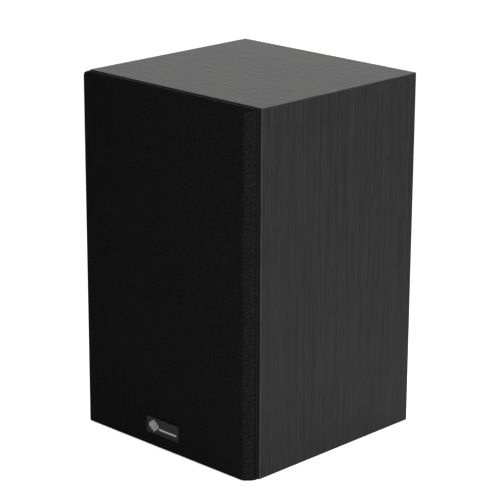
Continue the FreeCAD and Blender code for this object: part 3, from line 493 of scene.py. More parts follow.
def metal_finish(name, dull, bright, low_gloss, high_gloss, relief, **constants):
    """Plated or bare metal with scratches and a cloudy film."""
    material, tree, shader, place = new_finish(name, Metallic=1.0, **constants)
    worked = laid_in(tree, brushed_metal, Vector=place)
    colour = mixed(tree, worked["Film"], dull, bright)
    wander = maths(tree, "ADD", worked["Film"], worked["Scratch"])
    roughness = between(tree, wander, 0.4, 1.6, low_gloss, high_gloss)
    feed(tree, shader, colour, roughness, worked["Scratch"], relief)
    return material


zinc = metal_finish("zinc_passivated", (0.50, 0.49, 0.42, 1.0), (0.66, 0.66, 0.63, 1.0), 0.28, 0.48, 0.00002)
nylon = skinned_finish("natural_nylon", (0.62, 0.60, 0.52, 1.0), (0.78, 0.77, 0.70, 1.0), 0.0009, 0.00003,
                       0.36, 0.5, Subsurface_Weight=0.25, Subsurface_Scale=0.001)
dress(board_finish(), "crossover_board")
dress(nylon, "crossover_spacers")
dress(zinc, "crossover_screws")


def wire_finish(name, across, pitch, dull, bright):
    """Enamelled copper wire laid side by side: one ridge per turn across an axis."""
    material, tree, shader, place = new_finish(name, Metallic=0.85, Coat_Weight=0.6, Coat_Roughness=0.15)
    step = add(tree, "SeparateXYZ", {0: place}).outputs[across]
    ridge = maths(tree, "ABSOLUTE", maths(tree, "SINE", maths(tree, "MULTIPLY", step, math.pi / pitch)))
    film = noise(tree, place, 220.0, 3.0)
    # Painted shade and highlight: the copper is dull in the grooves between turns and bright only on the crests.
    colour = mixed(tree, maths(tree, "MULTIPLY", ridge, film), dull, bright)
    feed(tree, shader, colour, between(tree, film, 0.3, 0.7, 0.24, 0.40), maths(tree, "SQRT", ridge),
         pitch / 3)
    return material


copper_dull = (0.30, 0.11, 0.045, 1.0)
copper_bright = (0.80, 0.36, 0.17, 1.0)


def wound_choke(name, node, axis, wire):
    """An air-cored choke: the outline of its bundle of turns, one bulge per wire, spun round its core."""
    low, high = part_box(node)
    size = high - low
    half_length = size[axis] / 2
    outer = size[Z if axis == X else X] / 2
    inner = outer * 0.5
    bulges = 6
    radius = wire / 2

    def side(start, end, out):
        """Half circles along one side of the bundle, bulging towards out."""
        run = end - start
        count = max(1, round(run.length / wire))
        step = run / count
        points = []
        for turn in range(count):
            centre = start + step * (turn + 0.5)
            for k in range(bulges):
                angle = math.pi * k / bulges
                points.append(centre - step / 2 * math.cos(angle) + out * radius * math.sin(angle) * 0.8)
        return points

    top, bottom = half_length - radius, -half_length + radius
    far, near = outer - radius, inner + radius
    outline = side(Vector((far, bottom)), Vector((far, top)), Vector((1, 0)))
    outline += side(Vector((far, top)), Vector((near, top)), Vector((0, 1)))
    outline += side(Vector((near, top)), Vector((near, bottom)), Vector((-1, 0)))
    outline += side(Vector((near, bottom)), Vector((far, bottom)), Vector((0, -1)))
    work = bmesh.new()
    corners = [work.verts.new((p.x, 0.0, p.y)) for p in outline]
    edges = [work.edges.new((corners[k - 1], corners[k])) for k in range(len(corners))]
    bmesh.ops.spin(work, geom=corners + edges, cent=(0, 0, 0), axis=(0, 0, 1), angle=2 * math.pi, steps=48,
                   use_merge=True)
    bmesh.ops.recalc_face_normals(work, faces=work.faces)
    if axis == X:
        bmesh.ops.rotate(work, verts=work.verts, cent=(0, 0, 0), matrix=Matrix.Rotation(math.pi / 2, 3, "Y"))
    bmesh.ops.translate(work, verts=work.verts, vec=(low + high) / 2)
    material, tree, shader, place = new_finish(name + "_wire", Metallic=0.85, Coat_Weight=0.6,
                                               Coat_Roughness=0.15)
    film = noise(tree, place, 260.0, 3.0)
    feed(tree, shader, mixed(tree, film, copper_dull, copper_bright),
         between(tree, film, 0.3, 0.7, 0.22, 0.38), film, 0.00003)
    choke = piece_from(name, work, material, "cabinet")
    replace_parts(choke, node)


wound_choke("woofer_choke_turns", "woofer_choke", Z, 0.0012)
wound_choke("tweeter_choke_turns", "tweeter_choke", X, 0.0009)


def capacitor_finish(name, node):
    """Yellow polyester tape wound round the film, with brown resin poured into both ends."""
    low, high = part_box(node)
    material, tree, shader, place = new_finish(name, Specular_IOR_Level=0.5, Coat_Weight=0.25)
    x = add(tree, "SeparateXYZ", {0: place}).outputs[X]
    from_middle = maths(tree, "ABSOLUTE", maths(tree, "SUBTRACT", x, (low.x + high.x) / 2))
    resin_depth = 0.002
    resin_starts = (high.x - low.x) / 2 - resin_depth
    resin = between(tree, from_middle, resin_starts - 0.0002, resin_starts + 0.0002)
    wrinkles = noise(tree, stretched(tree, place, 700.0, 60.0, 60.0), 1.0, 3.0)
    tape = mixed(tree, wrinkles, (0.50, 0.30, 0.020, 1.0), (0.78, 0.55, 0.075, 1.0))
    colour = mixed(tree, resin, tape, (0.16, 0.085, 0.022, 1.0))
    feed(tree, shader, colour, between(tree, wrinkles, 0.3, 0.7, 0.22, 0.36), wrinkles, 0.00008)
    return material


dress(capacitor_finish("woofer_capacitor_tape", "woofer_capacitor"), "woofer_capacitor")
dress(capacitor_finish("tweeter_capacitor_tape", "tweeter_capacitor"), "tweeter_capacitor")
dress(skinned_finish("cement_case", (0.58, 0.55, 0.48, 1.0), (0.80, 0.78, 0.72, 1.0), 0.0008, 0.00006,
                     0.7, 0.85), "crossover_resistor")
dress(skinned_finish("lead_jacket", grey(0.012), grey(0.028), 0.0012, 0.00003, 0.34, 0.46),
      "terminal_leads", "woofer_leads", "tweeter_leads")


# ---- damping pads --------------------------------------------------------------------------------
# Two slabs of loose polyester wadding, cut to size and stapled to the side boards. They puff up unevenly
# across the middle, and their cut edges are thin and ragged.

def wadding_finish():
    """White polyester fibres, lying every way, with a soft fuzzy edge."""
    material, tree, shader, place = new_finish("polyester_wadding", Roughness=0.95, Sheen_Weight=0.5,
                                               Sheen_Roughness=0.6)
    twist = noise(tree, place, 60.0, 2.0)
    curled = add(tree, "VectorMath", {0: place, 1: add(tree, "CombineXYZ", {0: twist, 1: twist}).outputs[0],
                                      2: (0.02, 0.02, 0.02)}, operation="MULTIPLY_ADD").outputs[0]
    strands = noise(tree, stretched(tree, curled, 300.0, 900.0, 2400.0), 1.0, 4.0, 0.7)
    tufts = noise(tree, place, 90.0, 3.0)
    share = weighed(tree, tufts, 0.5, strands, 0.5)
    feed(tree, shader, mixed(tree, share, grey(0.52), grey(0.86)), None, share, 0.0008)
    return material


wadding = wadding_finish()


def wadding_pad(name, node, wall_side):
    """A pad that is flat against its board, and swells towards its middle and between its staples."""
    low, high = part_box(node)
    size = high - low
    work = bmesh.new()
    bmesh.ops.create_cube(work, size=1.0)
    bmesh.ops.scale(work, verts=work.verts, vec=size)
    bmesh.ops.translate(work, verts=work.verts, vec=(low + high) / 2)
    bmesh.ops.subdivide_edges(work, edges=work.edges, cuts=13, use_grid_fill=True)
    chance = random.Random(node)
    wall = low.x if wall_side < 0 else high.x
    thin_border = 0.022
    ragged = 0.0035
    for vertex in work.verts:
        along_y = (vertex.co.y - low.y) / size.y
        along_z = (vertex.co.z - low.z) / size.z
        to_edge = min(along_y * size.y, (1 - along_y) * size.y, along_z * size.z, (1 - along_z) * size.z)
        edge_share = min(1.0, to_edge / thin_border)
        staples = math.cos(2 * math.pi * along_y) * math.cos(4 * math.pi * along_z)
        swell = 0.55 + 0.33 * math.sin(edge_share * math.pi / 2) + 0.07 * staples + 0.05 * chance.random()
        vertex.co.x = wall + (vertex.co.x - wall) * swell
        pull = ragged * (1 - edge_share) * chance.random()
        vertex.co.y += pull if along_y < 0.5 else -pull
        vertex.co.z += pull if along_z < 0.5 else -pull
    bmesh.ops.smooth_vert(work, verts=work.verts, factor=0.5, use_axis_x=True, use_axis_y=True,
                          use_axis_z=True)
    pad = piece_from(name, work, wadding, "cabinet")
    rounding = pad.modifiers.new("rounding", "SUBSURF")
    rounding.levels = 1
    rounding.render_levels = 1
    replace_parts(pad, node)


wadding_pad("wadding_left", "damping_left", -1)
wadding_pad("wadding_right", "damping_right", 1)


# ---- woofer --------------------------------------------------------------------------------------
# A pressed steel basket, powder coated; a ferrite ring magnet between two zinc-plated plates; a pulp
# cone with a pulp dust cap, a rubber surround, a resin-dipped spider and a copper voice coil on foil.

woofer_centre = middle_of("woofer_basket")
surround_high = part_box("woofer_surround")[1]


def ferrite_finish():
    """Ground ferrite: dark grey with dull grinding marks and chipped specks."""
    material, tree, shader, place = new_finish("ground_ferrite", Specular_IOR_Level=0.6)
    marks = noise(tree, stretched(tree, place, 90.0, 2600.0, 700.0), 1.0, 3.0)
    chips = between(tree, noise(tree, place, 500.0, 2.0), 0.66, 0.72)
    colour = mixed(tree, marks, grey(0.030), grey(0.065))
    feed(tree, shader, mixed(tree, chips, colour, grey(0.12)), between(tree, marks, 0.3, 0.7, 0.40, 0.58),
         marks, 0.00004)
    return material


def pulp_finish(name, dark, light, centre):
    """Pressed pulp: long fibres that lean along the spokes, felted together, lightly coated."""
    material, tree, shader, place = new_finish(name, Specular_IOR_Level=0.4, Sheen_Weight=0.08)
    turned = laid_in(tree, around_axis, Vector=place, Centre=centre)
    out = add(tree, "CombineXYZ", {1: maths(tree, "MULTIPLY", turned["Radius"], 110.0)}).outputs[0]
    spoke = add(tree, "VectorMath", {0: turned["Spoke"], 1: (42.0, 42.0, 42.0), 2: out},
                operation="MULTIPLY_ADD").outputs[0]
    combed = noise(tree, spoke, 1.0, 4.0, 0.7)
    felt = noise(tree, place, 900.0, 4.0, 0.7)
    share = weighed(tree, combed, 0.45, felt, 0.55)
    feed(tree, shader, mixed(tree, between(tree, share, 0.35, 0.65), dark, light),
         between(tree, felt, 0.3, 0.7, 0.48, 0.68), share, 0.00016)
    return material


def rubber_finish(name, dark, light):
    """Butyl rubber: soft satin with a little bloom."""
    material, tree, shader, place = new_finish(name, Specular_IOR_Level=0.45, Sheen_Weight=0.06)
    bloom = noise(tree, place, 45.0, 4.0, 0.6)
    skin = noise(tree, place, 1300.0, 2.0)
    feed(tree, shader, mixed(tree, bloom, dark, light), between(tree, bloom, 0.3, 0.7, 0.42, 0.56), skin,
         0.00002)
    return material


powder_coat = skinned_finish("powder_coat", grey(0.012), grey(0.020), 0.0010, 0.00006, 0.36, 0.48)
black_oxide = skinned_finish("black_oxide_steel", grey(0.018), grey(0.040), 0.0006, 0.00002, 0.28, 0.44,
                             Metallic=0.7)
rubber = rubber_finish("butyl_rubber", grey(0.010), grey(0.022))
dress(powder_coat, "woofer_basket")
dress(zinc, "woofer_top_plate", "woofer_yoke")
dress(ferrite_finish(), "woofer_magnet", "tweeter_magnet")
dress(pulp_finish("cone_pulp", grey(0.016), grey(0.052), woofer_centre), "woofer_cone")
dress(pulp_finish("cap_pulp", grey(0.012), grey(0.036), woofer_centre), "woofer_dust_cap")
dress(metal_finish("former_foil", grey(0.55), grey(0.78), 0.18, 0.32, 0.00001), "woofer_former")
dress(wire_finish("woofer_coil_wire", Y, 0.0003, copper_dull, copper_bright), "woofer_coil")
dress(black_oxide, "woofer_screws", "tweeter_screws", "cup_screws")
dress(rubber_finish("gasket_rubber_matt", grey(0.014), grey(0.026)), "woofer_gasket")


def terminal_finish(name, node, axis, strip_depth):
    """Brown phenolic strip, with its two tags tinned where they stand out beyond the strip."""
    material, tree, shader, place = new_finish(name, Specular_IOR_Level=0.45)
    strip_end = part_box(node)[0][axis] + strip_depth
    tag = between(tree, add(tree, "SeparateXYZ", {0: place}).outputs[axis], strip_end, strip_end + 0.0001)
    layers = noise(tree, stretched(tree, place, 300.0, 300.0, 2200.0), 1.0, 3.0)
    phenolic = mixed(tree, layers, (0.13, 0.065, 0.024, 1.0), (0.27, 0.15, 0.06, 1.0))
    tinned = mixed(tree, layers, (0.52, 0.51, 0.48, 1.0), (0.72, 0.71, 0.68, 1.0))
    tree.links.new(tag, shader.inputs["Metallic"])
    feed(tree, shader, mixed(tree, tag, phenolic, tinned), between(tree, layers, 0.3, 0.7, 0.28, 0.46),
         layers, 0.00003)
    return material


dress(terminal_finish("woofer_strip", "woofer_terminals", X, 0.006), "woofer_terminals")
dress(terminal_finish("tweeter_strip", "tweeter_terminals", Y, 0.002), "tweeter_terminals")


def spun_ring(outline, centre_z, steps):
    """Mesh work: an open outline of radius and depth, spun once round the driver's axis."""
    work = bmesh.new()
    corners = [work.verts.new((radius, depth, centre_z)) for radius, depth in outline]
    edges = [work.edges.new(pair) for pair in zip(corners, corners[1:])]
    bmesh.ops.spin(work, geom=corners + edges, cent=(0, 0, centre_z), axis=(0, 1, 0), angle=2 * math.pi,
                   steps=steps, use_merge=True)
    bmesh.ops.recalc_face_normals(work, faces=work.faces)
    if sum(face.normal.y * face.calc_area() for face in work.faces) > 0:
        bmesh.ops.reverse_faces(work, faces=work.faces)
    return work


def flexing_ring(name, work, material, node, moving_body, centre_z, thickness, held_radius,
                 moving_radius):
    """A ring whose outer edge stays with the cabinet and whose inner edge follows the moving body."""
    ring = piece_from(name, work, material, None)
    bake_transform(ring, "cabinet", moving_body, start=(held_radius, 0, centre_z), end=(moving_radius, 0, centre_z))
    shares = ring.data.attributes["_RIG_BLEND"].data
    for vertex, share in zip(ring.data.vertices, shares):
        radius = math.hypot(vertex.co.x, vertex.co.z - centre_z)
        inwards = min(max((held_radius - radius) / (held_radius - moving_radius), 0.0), 1.0)
        share.value = inwards * inwards * (3 - 2 * inwards)
    wall = ring.modifiers.new("wall", "SOLIDIFY")
    wall.thickness = thickness
    wall.offset = 0.0
    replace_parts(ring, node)


surround_thickness = 0.0008
surround_plane = surround_high.y - surround_thickness / 2
roll = 0.0050 - surround_thickness / 2
roll_centre = 0.061
roll_steps = 16
fillet = 0.0008
surround_rim = surround_high.x - 0.0002
surround_neck = 0.0532
surround_held = 0.0665
surround_moves = 0.0560
surround_outline = [(surround_rim, surround_plane), (roll_centre + roll + fillet, surround_plane)]
surround_outline += [(roll_centre + roll * math.cos(math.pi * k / roll_steps),
                      surround_plane - roll * math.sin(math.pi * k / roll_steps) - surround_thickness / 2)
                     for k in range(roll_steps + 1)]
surround_outline += [(roll_centre - roll - fillet, surround_plane), (surround_neck, surround_plane)]
flexing_ring("woofer_surround_roll", spun_ring(surround_outline, woofer_centre.z, 128), rubber,
             "woofer_surround", "woofer_diaphragm", woofer_centre.z, surround_thickness,
             surround_held, surround_moves)


def weave_effect():
    """Plain weave on flat coordinates in metres: raised threads both ways, and the gaps between them."""
    tree, given, result = effect("weave", [("Vector", "Vector"), ("Pitch", "Float")],
                                 [("Height", "Float"), ("Gap", "Float"), ("Slub", "Float")])
    scaled = add(tree, "VectorMath", {0: given["Vector"]}, operation="SCALE")
    tree.links.new(maths(tree, "DIVIDE", math.pi, given["Pitch"]), scaled.inputs["Scale"])
    u, v, _ = add(tree, "SeparateXYZ", {0: scaled.outputs[0]}).outputs
    warp = maths(tree, "ABSOLUTE", maths(tree, "SINE", u))
    weft = maths(tree, "ABSOLUTE", maths(tree, "SINE", v))
    over = maths(tree, "SINE", maths(tree, "MULTIPLY", u, 0.5))
    over = maths(tree, "MULTIPLY", over, maths(tree, "SINE", maths(tree, "MULTIPLY", v, 0.5)))
    share = between(tree, over, -0.25, 0.25)
    height = maths(tree, "ADD", maths(tree, "MULTIPLY", warp, share),
                   maths(tree, "MULTIPLY", weft, maths(tree, "SUBTRACT", 1.0, share)))
    slub = noise(tree, stretched(tree, given["Vector"], 1800.0, 140.0, 140.0), 1.0, 3.0)
    tree.links.new(height, result["Height"])
    tree.links.new(between(tree, maths(tree, "MAXIMUM", warp, weft), 0.62, 0.42), result["Gap"])
    tree.links.new(slub, result["Slub"])
    return tree


weave = weave_effect()


def spider_finish():
    """Cotton cloth dipped in amber resin and hot-pressed into waves."""
    material, tree, shader, place = new_finish("resin_cloth", Specular_IOR_Level=0.35)
    flat = turned_grain(tree, place, X, Z, Y)
    cloth = laid_in(tree, weave, Vector=flat, Pitch=0.0007)
    # Painted shade: the cloth is darker where the weave sinks and lighter on the raised threads.
    colour = mixed(tree, cloth["Height"], (0.26, 0.14, 0.035, 1.0), (0.62, 0.42, 0.16, 1.0))
    feed(tree, shader, mixed(tree, cloth["Gap"], colour, (0.07, 0.035, 0.01, 1.0)),
         between(tree, cloth["Slub"], 0.3, 0.7, 0.5, 0.72), cloth["Height"], 0.00018)
    return material


spider_low, spider_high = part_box("woofer_spider")
spider_thickness = 0.0006
spider_plane = (spider_low.y + spider_high.y) / 2
spider_neck = 0.0131
spider_first = 0.0149
spider_last = 0.0375
spider_wave = 0.0016
spider_waves = 4
spider_steps = 48
spider_outline = [(spider_neck, spider_plane)]
spider_outline += [(spider_first + (spider_last - spider_first) * k / spider_steps,
                    spider_plane - spider_wave * math.sin(math.pi * spider_waves * k / spider_steps))
                   for k in range(spider_steps + 1)]
spider_outline += [(spider_high.x - 0.0002, spider_plane)]
flexing_ring("woofer_spider_waves", spun_ring(spider_outline, woofer_centre.z, 96), spider_finish(),
             "woofer_spider", "woofer_diaphragm", woofer_centre.z, spider_thickness,
             spider_last, spider_first)


def tinsel_finish():
    """Braided tinsel: copper foil ribbons round a cotton core, in a fine cross-wound braid."""
    material, tree, shader, _ = new_finish("tinsel_braid", Metallic=0.7)
    flat = add(tree, "UVMap", uv_map="lead").outputs[0]
    turned = add(tree, "Mapping", {"Vector": flat, "Rotation": (0, 0, math.pi / 4)}).outputs[0]
    braid = laid_in(tree, weave, Vector=turned, Pitch=0.0004)
    # Painted shade: the braid is dark brown where it sinks between the ribbons and bright copper on the raised
    # ribbons.
    colour = mixed(tree, braid["Height"], (0.22, 0.13, 0.07, 1.0), (0.78, 0.60, 0.42, 1.0))
    feed(tree, shader, colour, between(tree, braid["Slub"], 0.3, 0.7, 0.3, 0.5), braid["Height"], 0.00012)
    return material


def tinsel_lead(name, side, material):
    """One limp lead from its tag, through a basket window, to the back of the cone."""
    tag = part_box("woofer_tinsel_leads")
    z = woofer_centre.z + side * 0.005
    tag_x = 0.0510
    tag_y = tag[1].y
    route = [(tag_x, tag_y, z), (tag_x, tag_y - 0.009, z), (tag_x - 0.008, tag_y - 0.015, z),
             (tag_x - 0.018, tag_y - 0.014, z), (0.024, tag[0].y + 0.0010, z)]
    curve = bpy.data.curves.new(name, "CURVE")
    curve.dimensions = "3D"
    curve.bevel_depth = 0.0005
    curve.bevel_resolution = 3
    curve.use_fill_caps = True
    line = curve.splines.new("NURBS")
    line.points.add(len(route) - 1)
    for point, spot in zip(line.points, route):
        point.co = (*spot, 1.0)
    line.order_u = 3
    line.use_endpoint_u = True
    line.resolution_u = 12
    drawn = bpy.data.objects.new(name + "_line", curve)
    bpy.context.scene.collection.objects.link(drawn)
    mesh = bpy.data.meshes.new_from_object(drawn.evaluated_get(bpy.context.evaluated_depsgraph_get()))
    bpy.data.objects.remove(drawn)
    mesh.name = name
    mesh.materials.clear()
    mesh.materials.append(material)
    while mesh.uv_layers:
        mesh.uv_layers.remove(mesh.uv_layers[0])
    layer = mesh.uv_layers.new(name="lead")
    for corner in mesh.loops:
        spot = mesh.vertices[corner.vertex_index].co
        layer.data[corner.index].uv = (spot.x - spot.y, spot.z)
    for face in mesh.polygons:
        face.use_smooth = True
    lead = bpy.data.objects.new(name, mesh)
    bpy.context.scene.collection.objects.link(lead)
    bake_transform(lead, "cabinet", "woofer_diaphragm", start=(tag_x - 0.004, tag_y, z), end=(0.026, tag_y, z))
    return lead


tinsel = tinsel_finish()
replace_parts(tinsel_lead("tinsel_lead_upper", 1, tinsel), "woofer_tinsel_leads")
tinsel_lead("tinsel_lead_lower", -1, tinsel)


# ---- tweeter -------------------------------------------------------------------------------------
# A moulded faceplate with a shallow horn, a coated silk dome with its own small roll, an aluminium
# wire coil, and a ferrite magnet between zinc-plated plates.

tweeter_centre = middle_of("tweeter_faceplate")
tweeter_ring_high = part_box("tweeter_surround")[1]


def silk_finish(name, dark, light):
    """Fine silk, pressed to shape and brushed with a tacky coating."""
    material, tree, shader, place = new_finish(name, Specular_IOR_Level=0.45, Sheen_Weight=0.12)
    flat = turned_grain(tree, place, X, Z, Y)
    cloth = laid_in(tree, weave, Vector=flat, Pitch=0.00035)
    coating = noise(tree, place, 240.0, 3.0)
    # Painted shade: the silk is darker where the weave sinks and lighter on the raised threads.
    feed(tree, shader, mixed(tree, cloth["Height"], dark, light),
         between(tree, coating, 0.3, 0.7, 0.30, 0.48), cloth["Height"], 0.00005)
    return material


silk = silk_finish("coated_silk", grey(0.009), grey(0.022))
dress(silk, "tweeter_dome")
dress(ringed_plastic("faceplate_rings", tweeter_centre, grey(0.009), grey(0.015), 0.0006),
      "tweeter_faceplate")
dress(wire_finish("tweeter_coil_wire", Y, 0.0002, copper_dull, copper_bright), "tweeter_coil")
dress(zinc, "tweeter_top_plate", "tweeter_yoke")

silk_thickness = 0.0004
silk_roll = 0.0014
silk_inner = 0.0127
silk_plane = tweeter_ring_high.y - silk_thickness / 2
silk_steps = 12
silk_outline = [(tweeter_ring_high.x - 0.0001, silk_plane), (silk_inner + 2 * silk_roll, silk_plane)]
silk_outline += [(silk_inner + silk_roll + silk_roll * math.cos(math.pi * k / silk_steps),
                  silk_plane - silk_thickness / 2 - silk_roll * 0.8 * math.sin(math.pi * k / silk_steps))
                 for k in range(1, silk_steps)]
silk_outline += [(silk_inner + silk_thickness / 2, silk_plane)]
flexing_ring("tweeter_surround_roll", spun_ring(silk_outline, tweeter_centre.z, 96), silk, "tweeter_surround",
             "tweeter_diaphragm", tweeter_centre.z, silk_thickness, silk_inner + 2 * silk_roll,
             silk_inner + silk_thickness)


# ---- terminal cup and posts ----------------------------------------------------------------------
# A black moulded cup on a foam gasket, held by four screws. Two gold-plated brass posts are clamped
# in its floor, each with a loose washer and a fluted cap that screws down on bare wire.

def gold_finish():
    """Thin gold-coloured plate over turned brass, with the thread's fine ridges along the post."""
    material, tree, shader, place = new_finish("gold_plate_turned", Metallic=1.0)
    worked = laid_in(tree, brushed_metal, Vector=turned_grain(tree, place, Y, X, Z))
    depth = add(tree, "SeparateXYZ", {0: place}).outputs[Y]
    thread_pitch = 0.001
    thread = maths(tree, "PINGPONG", depth, thread_pitch / 2)
    scratches = maths(tree, "MULTIPLY", worked["Scratch"], 0.1)
    height = maths(tree, "MULTIPLY_ADD", thread, 1 / thread_pitch, scratches)
    colour = mixed(tree, worked["Film"], (0.72, 0.46, 0.14, 1.0), (0.92, 0.68, 0.28, 1.0))
    feed(tree, shader, colour, between(tree, worked["Film"], 0.0, 1.0, 0.16, 0.30), height, 0.00012)
    return material


dress(skinned_finish("cup_plastic_skin", grey(0.009), grey(0.016), 0.0009, 0.00005, 0.38, 0.52),
      "terminal_cup")
dress(skinned_finish("gasket_foam_cells", grey(0.016), grey(0.034), 0.0005, 0.00015, 0.8, 0.92), "cup_gasket")
dress(gold_finish(), "red_post", "black_post", "red_clamp_washer", "black_clamp_washer", "post_nuts",
      "solder_tags")
dress(skinned_finish("cap_plastic_red", (0.36, 0.008, 0.006, 1.0), (0.50, 0.016, 0.012, 1.0), 0.0018,
                     0.00001, 0.16, 0.26, Coat_Weight=0.3), "red_cap")
dress(skinned_finish("cap_plastic_black", grey(0.008), grey(0.014), 0.0018, 0.00001, 0.16, 0.26,
                     Coat_Weight=0.3), "black_cap")

cup_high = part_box("terminal_cup")[1]
polarity_finish = skinned_finish("polarity_marks_white", grey(0.50), grey(0.62), 0.0008, 0.00002, 0.4, 0.5)


def cut_edges(work, edges, offset, steps):
    """Cuts sharp edges back in one flat or several small steps."""
    bmesh.ops.bevel(work, geom=edges, offset=offset, segments=steps, profile=0.5, affect="EDGES", material=-1)


def raised_bar(work, x, y, z, width, thickness, height):
    """Adds a small bar with rounded edges to the mesh work."""
    made = bmesh.ops.create_cube(work, size=1.0)["verts"]
    bmesh.ops.scale(work, verts=made, vec=(width, thickness, height))
    bmesh.ops.translate(work, verts=made, vec=(x, y, z))
    edges = list({edge for vertex in made for edge in vertex.link_edges})
    cut_edges(work, edges, min(width, thickness, height) * 0.25, 2)


def polarity_marks():
    """A raised plus over the red post and a raised minus over the black one, moulded on the cup's flange."""
    work = bmesh.new()
    length = 0.0050
    width = 0.0012
    thickness = 0.0005
    upright_thickness = thickness * 1.1
    below_edge = 0.0055
    sunk = 0.0001
    z = cup_high.z - below_edge
    y = cup_high.y + thickness / 2 - sunk
    raised_bar(work, middle_of("red_post").x, y, z, length, thickness, width)
    raised_bar(work, middle_of("red_post").x, y, z, width, upright_thickness, length)
    raised_bar(work, middle_of("black_post").x, y, z, length, thickness, width)
    piece_from("polarity_marks", work, polarity_finish, "cabinet", smooth=False)


polarity_marks()


# ---- grille --------------------------------------------------------------------------------------
# A black-stained fibreboard frame with nylon pegs that push into rubber sockets in the baffle. The
# cloth is stretched over the face and sides and stapled behind; a small plate is glued on low down.

dress(skinned_finish("stained_fibreboard", grey(0.010), grey(0.020), 0.0007, 0.00008, 0.7, 0.85),
      "grille_frame")
dress(skinned_finish("peg_nylon", grey(0.010), grey(0.018), 0.0009, 0.00003, 0.34, 0.48), "grille_pegs")
dress(rubber, "peg_sockets")

cloth_low, cloth_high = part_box("grille_cloth")
cloth_thickness = 0.00075
cloth_chamfer = 0.0064
cloth_soften = 0.0012
cloth_end_round = 0.0014
cloth_return = 0.012


def cloth_finish():
    """Black polyester grille cloth: open plain weave, dull thread, with pulled lines at the chamfers and painted
    shade over the sides and ends.
    """
    material, tree, shader, _ = new_finish("grille_cloth_weave", Specular_IOR_Level=0.0, Sheen_Weight=0.004,
                                           Sheen_Roughness=0.6)
    flat = add(tree, "UVMap", uv_map="cloth").outputs[0]
    cloth = laid_in(tree, weave, Vector=flat, Pitch=0.0009)
    thread = mixed(tree, cloth["Slub"], grey(0.0090), grey(0.0190))
    colour = mixed(tree, cloth["Gap"], thread, grey(0.0008))
    pull = noise(tree, stretched(tree, flat, 260.0, 22.0, 0.0), 1.0, 3.0)
    colour = mixed(tree, between(tree, pull, 0.45, 0.75, 0.0, 0.30), colour, grey(0.020))
    u, v, _ = add(tree, "SeparateXYZ", {0: flat}).outputs
    chamfer_starts = (cloth_high.x - cloth_low.x) / 2 - cloth_chamfer
    on_chamfer = between(tree, maths(tree, "ABSOLUTE", u), chamfer_starts - 0.001, chamfer_starts, 0.32, 0.66)
    lint = noise(tree, flat, 480.0, 2.0)
    fluff = maths(tree, "MULTIPLY", between(tree, lint, 0.5, 0.75), on_chamfer)
    hollow = maths(tree, "MULTIPLY", between(tree, lint, 0.5, 0.25), on_chamfer)
    colour = mixed(tree, fluff, colour, grey(0.026))
    colour = mixed(tree, hollow, colour, grey(0.003))
    # Painted shade: round the frame's sides and ends, the cloth's colour is darkened to 0.62, standing in for the
    # shade on the grille's sides and ends.
    past_chamfer = chamfer_starts + cloth_chamfer * math.sqrt(2) + 0.0012
    over_side = between(tree, maths(tree, "ABSOLUTE", u), past_chamfer - 0.0003, past_chamfer + 0.0003)
    from_middle = maths(tree, "ABSOLUTE", maths(tree, "SUBTRACT", v, (cloth_low.z + cloth_high.z) / 2))
    half_height = (cloth_high.z - cloth_low.z) / 2
    over_end = between(tree, from_middle, half_height - 0.0008, half_height + 0.0012)
    painted_side_and_end_shade = maths(tree, "MAXIMUM", over_side, over_end)
    colour = mixed(tree, painted_side_and_end_shade, colour, stretched(tree, colour, 0.62, 0.62, 0.62))
    height = maths(tree, "MULTIPLY_ADD", pull, 0.25, cloth["Height"])
    feed(tree, shader, colour, between(tree, cloth["Slub"], 0.3, 0.7, 0.72, 0.92), height, 0.00022)
    return material


def cloth_work():
    """The stretched cloth as one skin: face, chamfers, sides, ends, and lips turned in behind."""
    size = cloth_high - cloth_low
    work = bmesh.new()
    bmesh.ops.create_cube(work, size=1.0)
    bmesh.ops.scale(work, verts=work.verts, vec=size)
    bmesh.ops.translate(work, verts=work.verts, vec=(cloth_low + cloth_high) / 2)
    face_y = cloth_low.y
    near = 1e-5
    upright = [edge for edge in work.edges if abs(edge.verts[0].co.z - edge.verts[1].co.z) > size.z / 2
               and edge.verts[0].co.y < face_y + near]
    cut_edges(work, upright, cloth_chamfer, 1)
    upright = [edge for edge in work.edges if abs(edge.verts[0].co.z - edge.verts[1].co.z) > size.z / 2
               and edge.verts[0].co.y < face_y + cloth_chamfer + near]
    cut_edges(work, upright, cloth_soften, 3)
    ends = [edge for edge in work.edges if len(edge.link_faces) == 2
            and abs(edge.verts[0].co.z - edge.verts[1].co.z) < near
            and all(vertex.co.y < face_y + cloth_chamfer + cloth_soften + near for vertex in edge.verts)
            and min(abs(edge.verts[0].co.z - cloth_low.z), abs(edge.verts[0].co.z - cloth_high.z)) < near]
    cut_edges(work, ends, cloth_end_round, 3)
    bmesh.ops.remove_doubles(work, verts=work.verts, dist=near)
    back = [face for face in work.faces if face.normal.y > 0.99]
    bmesh.ops.inset_region(work, faces=back, thickness=cloth_return, use_even_offset=True)
    bmesh.ops.delete(work, geom=back, context="FACES_KEEP_BOUNDARY")
    return work


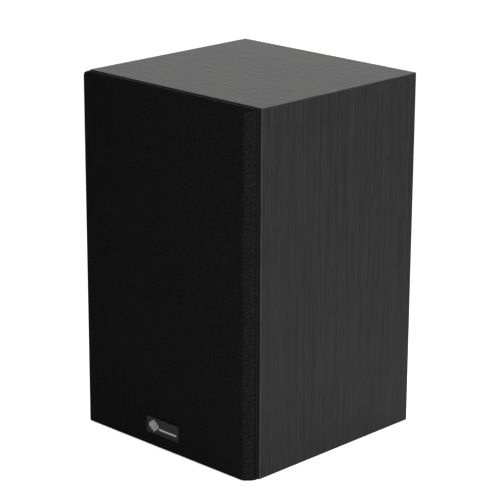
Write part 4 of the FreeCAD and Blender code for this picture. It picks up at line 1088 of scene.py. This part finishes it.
def lay_out(work):
    """Flat coordinates in metres: each point's distance across and along the cloth before it was folded."""
    layer = work.loops.layers.uv.new("cloth")
    half = (cloth_high.x - cloth_low.x) / 2
    face_y = cloth_low.y
    slope = cloth_chamfer * math.sqrt(2)
    for face in work.faces:
        for corner in face.loops:
            spot = corner.vert.co
            depth = spot.y - face_y
            over_side = min(depth, cloth_chamfer) / cloth_chamfer * slope + max(depth - cloth_chamfer, 0)
            across, along = spot.x, spot.z
            if abs(spot.x) > half - cloth_chamfer - cloth_soften and abs(face.normal.z) < 0.5:
                across = math.copysign(half - cloth_chamfer + over_side, spot.x)
            if abs(face.normal.z) >= 0.5:
                along = spot.z + math.copysign(depth, face.normal.z)
            corner[layer].uv = (across, along)


cloth_mesh = cloth_work()
lay_out(cloth_mesh)
cloth = piece_from("grille_cloth_skin", cloth_mesh, cloth_finish(), "grille")
cloth_wall = cloth.modifiers.new("thread_thickness", "SOLIDIFY")
cloth_wall.thickness = cloth_thickness
cloth_wall.offset = -1.0
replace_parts(cloth, "grille_cloth")


# ---- badge ---------------------------------------------------------------------------------------
# A black anodised plate with a thin raised rim, glued on the cloth. Five plain bars and one line,
# like a level meter, stand on it in brushed silver.

badge_low, badge_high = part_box("grille_badge")


def badge_finish():
    """Dark anodised aluminium, brushed from side to side."""
    material, tree, shader, place = new_finish("badge_anodised", Metallic=0.6, Specular_IOR_Level=0.5)
    worked = laid_in(tree, brushed_metal, Vector=place)
    colour = mixed(tree, worked["Scratch"], grey(0.022), grey(0.050))
    feed(tree, shader, colour, between(tree, worked["Scratch"], 0.3, 0.7, 0.34, 0.52), worked["Scratch"],
         0.00003)
    return material


dress(badge_finish(), "grille_badge")
silver = metal_finish("badge_silver", grey(0.72), grey(0.90), 0.20, 0.34, 0.00002)
badge_field_y = badge_low.y + 0.0005
mark_thickness = 0.00025
mark_work = bmesh.new()
bar_heights = (0.0046, 0.0084, 0.0112, 0.0076, 0.0040)
bar_pitch = 0.0025
bar_width = 0.0015
bars_start = 0.0042
line_length = 0.0220
line_height = 0.0017
line_right = 0.0068
line_below = 0.0020
badge_middle = (badge_low + badge_high) / 2
for number, bar_height in enumerate(bar_heights):
    raised_bar(mark_work, badge_low.x + bars_start + number * bar_pitch, badge_field_y - mark_thickness / 2,
               badge_middle.z, bar_width, mark_thickness, bar_height)
raised_bar(mark_work, badge_middle.x + line_right, badge_field_y - mark_thickness / 2,
           badge_middle.z - line_below, line_length, mark_thickness, line_height)
piece_from("badge_marks", mark_work, silver, "grille", smooth=False)
